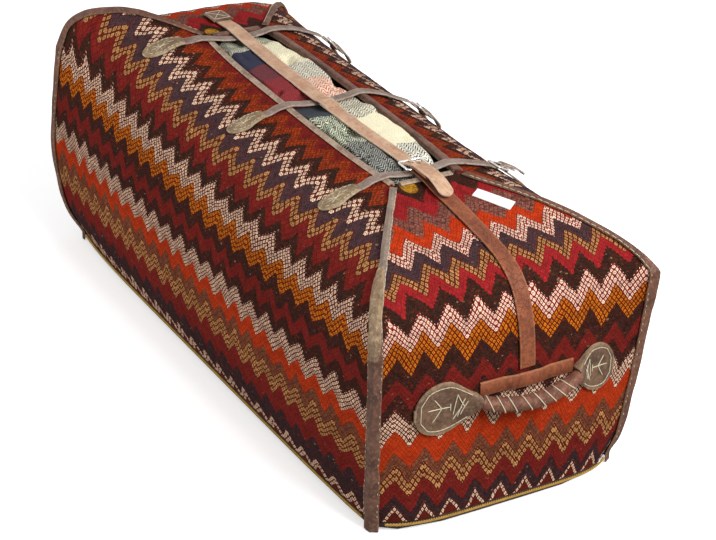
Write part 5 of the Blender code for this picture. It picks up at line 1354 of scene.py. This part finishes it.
def buildHandle(panel, sideName):
    turn, neck = panel.sign, handle["neckHeight"]
    neckX = abs(panel.point(0, neck - bag["trayHeight"])[0]) + handle["neckStandOff"]
    seed = 400 + 20 * turn
    # rolled grip, a little lumpy, with the overlap of the leather along its back
    share = np.linspace(-1, 1, 90)
    angle = np.linspace(0, 2 * math.pi, 28, endpoint=False)
    centre, out, up, radius = gripRings(turn, share, neckX)
    lumps = np.stack([softNoise(centre + 0.02 * np.array([math.cos(a), 0, math.sin(a)]), 0.022,
                                seed) for a in angle], 1)
    radius = radius * (1 + 0.035 * lumps) - 0.0004
    radius[:, 12:15] -= 0.0006
    buildTube(sideName + "_rolled_grip", rings(centre, out, up, radius[..., None], len(angle)),
              leathers["grip"], "grip_leather", body=sideName + "_grip",
              replaced=sideName + "_handle_grip")
    # cord laced slantwise round the grip
    laces = MeshParts()
    for y in handle["laces"]:
        around = np.linspace(0, 2 * math.pi, 41)[:-1]
        middle = (y - handle["shift"]) / handle["neckSpread"]
        at = np.clip(middle - 0.10 * turn * np.sin(around), -0.97, 0.97)
        centre, out, up, radius = gripRings(turn, at, neckX, 0.0004)
        spots = centre + radius * (out * np.cos(around)[:, None] + up * np.sin(around)[:, None])
        run = unit(np.roll(spots, -1, 0) - np.roll(spots, 1, 0))
        away = unit(spots - centre)
        laces.tube(rings(spots, away, np.cross(run, away), handle["laceRadius"], 8), closed=True)
    laces.build(sideName + "_grip_laces", paleThread, "grip_leather", sideName + "_grip",
                smooth=None)

    # leaf patches with their thread
    low = strapping["sewnClearance"] + weave["ridge"] / 2
    for label, (outward, length, width) in handle["leaves"].items():
        if turn < 0:   # the far handle is the near one turned about
            label = "back" if label == "front" else "front"

        def surface(share, c, lift=0.0):
            # c from -1 to 1 across the leaf; lift above its upper face
            share, c = np.broadcast_arrays(np.asarray(share, float), np.asarray(c, float))
            y = turn * handle["shift"] + turn * outward * (
                handle["neckSpread"] + strapping["gap"] + length * (1 - share))
            half = np.maximum(width / 2 * leafWidth(share), handle["radius"] * 0.78)
            rise = np.maximum(0, (share - 0.55) / 0.45) ** 1.6
            half = half + (handle["radius"] * 0.80 - half) * rise
            v = neck - bag["trayHeight"]
            footV = v + half * c - 0.004 * (1 - share)
            normal = panel.normal(y, footV)
            sine = np.sqrt(np.maximum(0, 1 - c ** 2))
            flat = strapping["patchThickness"] * np.minimum(1, sine * 4)
            neckTop = handle["neckStandOff"] - low + handle["radius"] * 0.80 * sine
            crest = np.maximum(0.0006, flat + (neckTop - flat) * rise)
            foot = panel.above(y, footV, low)
            top = foot + normal * (crest + lift)[..., None]
            foot[..., 1] = y
            top[..., 1] = y
            return top, foot

        share = np.concatenate([[0, 0.01, 0.03], np.linspace(0.05, 1, 56)])
        c = np.cos(np.linspace(0, math.pi, 25))
        top, foot = surface(share[:, None], c[None])
        wrinkle = softNoise(top, 0.028, seed + 3) * 0.0007
        normal = panel.normal(top[..., 1], np.full(top.shape[:2], neck - bag["trayHeight"]))
        inner = np.clip(1 - np.abs(c) ** 6, 0, 1)[None] * np.clip((1 - share) * 6, 0, 1)[:, None]
        top = top + normal * (wrinkle * inner)[..., None]
        edges = np.tile(np.concatenate([c, c[::-1]]), (len(share), 1))
        edges[:3] = 1
        buildTube(sideName + "_leather_leaf_" + label, np.concatenate([foot, top[:, ::-1]], 1),
                  leathers["patch"], "patch_leather", edges,
                  replaced=sideName + "_leaf_patch_" + label)
        thread = MeshParts()
        at = np.concatenate([np.linspace(0.86, 0.10, 40), np.linspace(0.10, 0.86, 40)])
        edge = np.concatenate([np.full(40, 0.80), np.full(40, -0.80)])
        edge = edge * np.clip(0.25 + at * 3.6, 0.4, 1)
        loop = surface(at, edge, 0.0004)[0]
        for k in range(0, len(loop) - 4, 4):
            thread.thread(smoothPath(loop[k:k + 5], 0.0015, 0.002)[0], 0.0007)
        strokes = [((0.20, 0.10), (0.56, 0.02)), ((0.30, 0.48), (0.42, 0.05)),
                   ((0.28, -0.42), (0.42, 0.05)), ((0.56, 0.16), (0.56, -0.14)),
                   ((0.66, 0.55), (0.60, -0.35)), ((0.66, 0.55), (0.76, -0.10)),
                   ((0.76, 0.45), (0.66, -0.50)), ((0.70, -0.45), (0.80, 0.30)),
                   ((0.60, -0.55), (0.72, -0.05))]
        for a, b in strokes:
            line = np.linspace(a, b, 12)
            thread.thread(surface(line[:, 0], line[:, 1], 0.0006)[0], 0.0008)
        thread.build(sideName + "_leaf_thread_" + label, paleThread, "patch_leather")

    # base strip behind the grip
    y = turn * handle["shift"] + turn * np.linspace(-1, 1, 60) * (handle["neckSpread"] - 0.002)
    lift = (strapping["panelClearance"] - strapping["sewnClearance"]
            + strapping["longThickness"] + 2 * strapping["gap"]) if turn > 0 else 0.0
    cover = lift * np.clip(2.3 - np.abs(y - 0.016) / 0.018, 0, 1)
    v = neck - bag["trayHeight"]
    thick = strapping["patchThickness"]
    rows = [panel.above(y, v + 0.001 + handle["stripWidth"] * k, low + cover + up * thick)
            for k, up in ((0, 0), (0.5, 0), (1, 0), (1, 0.6), (0.95, 0.95), (0.5, 1.0),
                          (0.05, 0.95), (0, 0.6))]
    buildTube(sideName + "_base_strip", np.stack(rows, 1), leathers["redStrap"],
              "red_strap_leather", [-1, 0, 1, 1, 0.9, 0, -0.9, -1],
              replaced=sideName + "_handle_base")


buildHandle(right, "right")
buildHandle(left, "left")
print("handles built")


# blankets, tag and tray

def makeBlanket(name, zones, tick):
    # zones run along the mouth; each has a ground colour, a tick colour and its strength
    material, desk, shader = startMaterial(name, Roughness=0.95, Specular_IOR_Level=0.15)
    place = desk.place()
    shift = desk.noise(place, 22.0, 2.0)
    along = desk.axes(place)
    x = desk.scaled(shift, 0.035, desk.plus(along[0], 0.32 - 0.0175))
    level = desk.calc("DIVIDE", x, 0.64)
    ground, marks, power = (desk.ramp(level, [(zone[0], zone[k]) for zone in zones], "CONSTANT")
                            for k in (1, 2, 3))
    zig = desk.times(desk.calc("PINGPONG", along[1], 0.0065), 1.3)
    row = desk.calc("PINGPONG", desk.times(desk.plus(along[0], zig), tick), 0.5)
    drawn = desk.remap(row, 0.18, 0.30, 1.0, 0.0, True)
    broken = desk.remap(desk.noise(desk.stretch(place, (170.0, 420.0, 1.0)), 1.0, 1.0),
                        0.34, 0.46)
    drawn = desk.times(desk.times(drawn, broken), power)
    colour = desk.mix(drawn, ground, marks)
    fuzz = desk.noise(place, 420.0, 2.0, 0.6)
    colour = desk.mix(desk.remap(fuzz, 0.35, 0.75, 0.0, 0.22), colour, (0.05, 0.045, 0.04))
    dress(desk, shader, colour, desk.plus(fuzz, desk.times(row, 0.6)), 0.0009)
    return material


creamZones = [
    (0.00, (0.62, 0.62, 0.44), (0.10, 0.12, 0.07), 0.8),
    (0.10, (0.88, 0.80, 0.56), (0.30, 0.28, 0.20), 0.35),
    (0.26, (0.78, 0.72, 0.56), (0.12, 0.12, 0.13), 0.95),
    (0.37, (0.78, 0.62, 0.48), (0.52, 0.10, 0.055), 1.0),
    (0.50, (0.82, 0.76, 0.58), (0.05, 0.05, 0.05), 0.95),
    (0.63, (0.92, 0.85, 0.60), (0.50, 0.46, 0.34), 0.15),
    (0.82, (0.86, 0.82, 0.68), (0.018, 0.020, 0.032), 1.0),
    (0.94, (0.72, 0.68, 0.54), (0.05, 0.05, 0.05), 0.6)]
darkZones = [
    (0.00, (0.62, 0.60, 0.46), (0.03, 0.03, 0.03), 0.95),
    (0.13, (0.024, 0.025, 0.052), (0.05, 0.05, 0.08), 0.4),
    (0.24, (0.110, 0.026, 0.034), (0.22, 0.045, 0.05), 0.6),
    (0.33, (0.27, 0.030, 0.032), (0.12, 0.016, 0.020), 0.8),
    (0.50, (0.040, 0.050, 0.062), (0.08, 0.08, 0.09), 0.3),
    (0.60, (0.065, 0.075, 0.048), (0.80, 0.82, 0.62), 0.95),
    (0.76, (0.016, 0.016, 0.018), (0.62, 0.62, 0.54), 0.65)]
blankets = {
    "fill": 0.55, "cap": 0.006, "voxel": 0.0040, "frames": 12, "pressure": 3.0,
    "bottom": bag["mouthHeight"] - 0.044 + strapping["gap"], "halfLength": 0.306,
    "underStraps": bag["mouthHeight"] + strapping["rise"] - strapping["crossDip"] - 0.0035,
    "swell": 0.0090, "strapHalf": 0.012, "rimRoom": 0.0050, "square": 0.32,
}


def squarish(wave):   # a round section pressed towards a rectangle
    return np.sign(wave) * np.abs(wave) ** blankets["square"]


def blanketShell(inner, outer, seed):   # y of the side next to the other blanket, and way out
    count, around = 110, 44
    share = np.linspace(-1, 1, count)
    angle = np.linspace(0, 2 * math.pi, around, endpoint=False)
    bottom, top = blankets["bottom"] + 0.004, blankets["underStraps"] - 0.003
    edge = bag["mouthHalfWidth"] + bag["mouthSpread"] * (1 - np.abs(share) ** 3.4)
    far = outer * (edge - blankets["rimRoom"])
    near = inner + 0.004 * np.sin(share * 4 + seed)
    close = 1 - 0.30 * np.abs(share) ** 8
    middle, half = (far + near) / 2, np.abs(far - near) / 2 * close - 0.002
    y = middle[:, None] + half[:, None] * squarish(np.cos(angle))
    lift = 0.5 + 0.5 * squarish(np.sin(angle))
    z = bottom + lift * ((top - bottom) * (0.80 + 0.20 * close))[:, None]
    return np.stack([share[:, None] * blankets["halfLength"] * np.ones(around), y, z], -1)


def mouthCeiling(x):   # highest the bedding stands: it swells between the cross straps
    free = np.min([np.abs(x - spot) for spot in cross["x"]], 0) - blankets["strapHalf"]
    return blankets["underStraps"] + blankets["swell"] * eased(np.clip(free / 0.045, 0, 1))


def puffOut(obj):
    # cloth simulation: the shell swells against its own seams, then no point moves past the cap
    before = np.array([v.co for v in obj.data.vertices])
    cloth = obj.modifiers.new("swell", "CLOTH")
    cloth.settings.use_pressure = True
    cloth.settings.uniform_pressure_force = blankets["pressure"]
    cloth.settings.quality = 5
    cloth.settings.effector_weights.gravity = 0
    cloth.settings.shrink_min = -0.10
    cloth.point_cache.frame_start, cloth.point_cache.frame_end = 1, blankets["frames"]
    scene = bpy.context.scene
    for step in range(blankets["frames"]):
        scene.frame_set(step + 1)
    graph = bpy.context.evaluated_depsgraph_get()
    after = np.array([v.co for v in obj.evaluated_get(graph).data.vertices])
    obj.modifiers.remove(cloth)
    scene.frame_set(1)
    move = after - before
    size = np.linalg.norm(move, axis=1, keepdims=True)
    return before + move * np.minimum(1, blankets["cap"] / np.maximum(size, 1e-9))


def buildBlanket(name, node, inner, outer, material, slot, seed, folds):
    parts = MeshParts()
    parts.tube(blanketShell(inner, outer, seed))
    obj = parts.build(name, material, slot, replaced=node, smooth=None)
    remesh = obj.modifiers.new("even", "REMESH")
    remesh.mode, remesh.voxel_size = "VOXEL", blankets["voxel"]
    mesh = bake(obj)
    points = np.array([v.co for v in mesh.vertices])
    points = puffOut(obj)
    # the layers of the folded cloth show as grooves, and its top swells between the straps
    x, y, z = points.T
    lean = bag["sag"] * x
    crest = np.clip((z + lean - blankets["bottom"]) / 0.036, 0, 1) ** 2
    z = z + crest * (mouthCeiling(x) - blankets["underStraps"] + 0.002)
    for place, drift, depth in folds:
        line = place + drift * np.sin(x * 9 + seed) + 0.002 * np.sin(x * 31 + place * 90)
        z = z - crest * depth * np.exp(-((y - line) / 0.0030) ** 2)
    z = z + crest * 0.0016 * np.sin(x * 60 + 4 * np.sin(y * 70 + seed))
    z = z + crest * softNoise(points, 0.040, seed + 2) * 0.0016
    points = np.stack([x, y, np.minimum(z, mouthCeiling(x) - lean - 0.0004)], -1)
    mesh.vertices.foreach_set("co", points.astype(np.float32).ravel())
    mesh.materials.clear()
    mesh.materials.append(material)
    mesh.update()
    soft = obj.modifiers.new("soft", "SUBSURF")
    soft.levels = soft.render_levels = 1
    mesh.shade_smooth()


buildBlanket("dark_blanket_fold", "blanket_dark", -0.002, -1,
             makeBlanket("darkBlanket", darkZones, 190.0), "dark_blanket", 21,
             ((-0.040, 0.004, 0.0045), (-0.022, 0.006, 0.0035)))
buildBlanket("cream_blanket_fold", "blanket_cream", 0.001, 1,
             makeBlanket("creamBlanket", creamZones, 150.0), "cream_blanket", 22,
             ((0.018, 0.005, 0.0035), (0.046, 0.006, 0.0040)))


tagCloth = makePlain("tagCloth", (0.86, 0.86, 0.85), (0.62, 0.60, 0.56), (90.0, 3.0),
                     (0.4, 0.75, 0.0, 0.35), (1500.0, 1500.0, 1500.0), 1.0, 0.0002,
                     Roughness=0.85)
beddingCloth = makePlain("beddingCloth", (0.30, 0.26, 0.20), (0.16, 0.13, 0.10), (40.0, 3.0),
                         (0.4, 0.7), (900.0, 900.0, 900.0), 1.0, 0.0004, Roughness=0.95)
tag = {"fromMouth": 0.060, "down": 0.050, "start": 0.050, "drift": 0.034, "halfWidth": 0.011,
       "thickness": 0.001}


def buildTag():
    low = strapping["sewnClearance"] + weave["ridge"] / 2
    share = np.linspace(0, 1, 30)
    v = right.height - tag["fromMouth"] - tag["down"] * share
    s = tag["start"] + tag["drift"] * share
    centre, up = right.above(s, v, low + share * 0), right.normal(s, v)
    run = unit(right.point(s + 0.0068, v - 0.010) - right.point(s - 0.0068, v + 0.010))
    side = np.cross(up, run) * tag["halfWidth"]
    curl = (0.0022 * np.clip(share - 0.55, 0, 1) ** 1.5 + 0.0002)[:, None]
    rows = [centre + side * c + up * (curl * (0.3 + 0.7 * k) + k * tag["thickness"])
            for c, k in ((-1, 0), (-0.5, 0), (0, 0), (0.5, 0), (1, 0), (1, 1), (0.5, 1), (0, 1),
                         (-0.5, 1), (-1, 1))]
    buildTube("white_tag", np.stack(rows, 1), tagCloth, "tag_cloth", replaced="cloth_tag")


buildTag()
for name, material in (("base_tray", leathers["tray"]), ("bedding_filling", beddingCloth)):
    mesh = cadNodes[name].data
    mesh.materials.clear()
    mesh.materials.append(material)
print("blankets, tag and tray done")


# floor and light

light = {"world": 0.44, "key": 200.0, "fill": 78.0, "floorGlow": 0.50,
         "floorBack": (0.38, 0.36, 0.34)}


def makeFloor():   # white to the camera, greyer in what it throws back on the bag
    material, desk, shader = startMaterial("floorWhite", Roughness=0.95, Specular_IOR_Level=0.0)
    seen = desk.add("ShaderNodeLightPath").outputs["Is Camera Ray"]
    desk.plug(shader.inputs["Base Color"], desk.mix(seen, light["floorBack"], (1, 1, 1)))
    desk.plug(shader.inputs["Emission Color"],
              desk.mix(seen, (0, 0, 0), (light["floorGlow"],) * 3))
    shader.inputs["Emission Strength"].default_value = 1.0
    return material


floorMesh = bpy.data.meshes.new("floor")
floorMesh.from_pydata([(-30, -30, -0.0005), (30, -30, -0.0005), (30, 30, -0.0005),
                       (-30, 30, -0.0005)], [], [(0, 1, 2, 3)])
floorMesh.materials.append(makeFloor())
addObject("floor", floorMesh)

def makeWorld():
    world = bpy.data.worlds.new("studio")
    world.use_nodes = True
    tree = world.node_tree
    desk = NodeDesk(tree)
    ground = tree.nodes["Background"]
    ground.inputs["Color"].default_value = (1, 1, 1, 1)
    path = desk.add("ShaderNodeLightPath")
    seen = desk.calc("MAXIMUM", path.outputs["Is Camera Ray"], desk.calc(
        "MAXIMUM", path.outputs["Is Glossy Ray"], path.outputs["Is Transmission Ray"]))
    desk.plug(ground.inputs["Strength"], desk.remap(seen, 0.0, 1.0, light["world"], 1.0))
    bpy.context.scene.world = world


makeWorld()


def addLamp(name, place, target, power, size):
    lamp = bpy.data.lights.new(name, "AREA")
    lamp.energy, lamp.shape, lamp.size, lamp.size_y = power, "RECTANGLE", size, size
    obj = addObject(name, lamp)
    obj.location = place
    obj.rotation_euler = (Vector(target) - Vector(place)).to_track_quat("-Z", "Y").to_euler()


addLamp("keyLamp", (3.2, 0.7, 3.0), (0, 0, 0.2), light["key"], 1.8)
addLamp("fillLamp", (-0.6, -3.5, 0.5), (0, 0, 0.1), light["fill"], 1.6)

bpy.context.scene.view_settings.view_transform = "Standard"
bpy.context.view_layer.update()
print("scene ready")
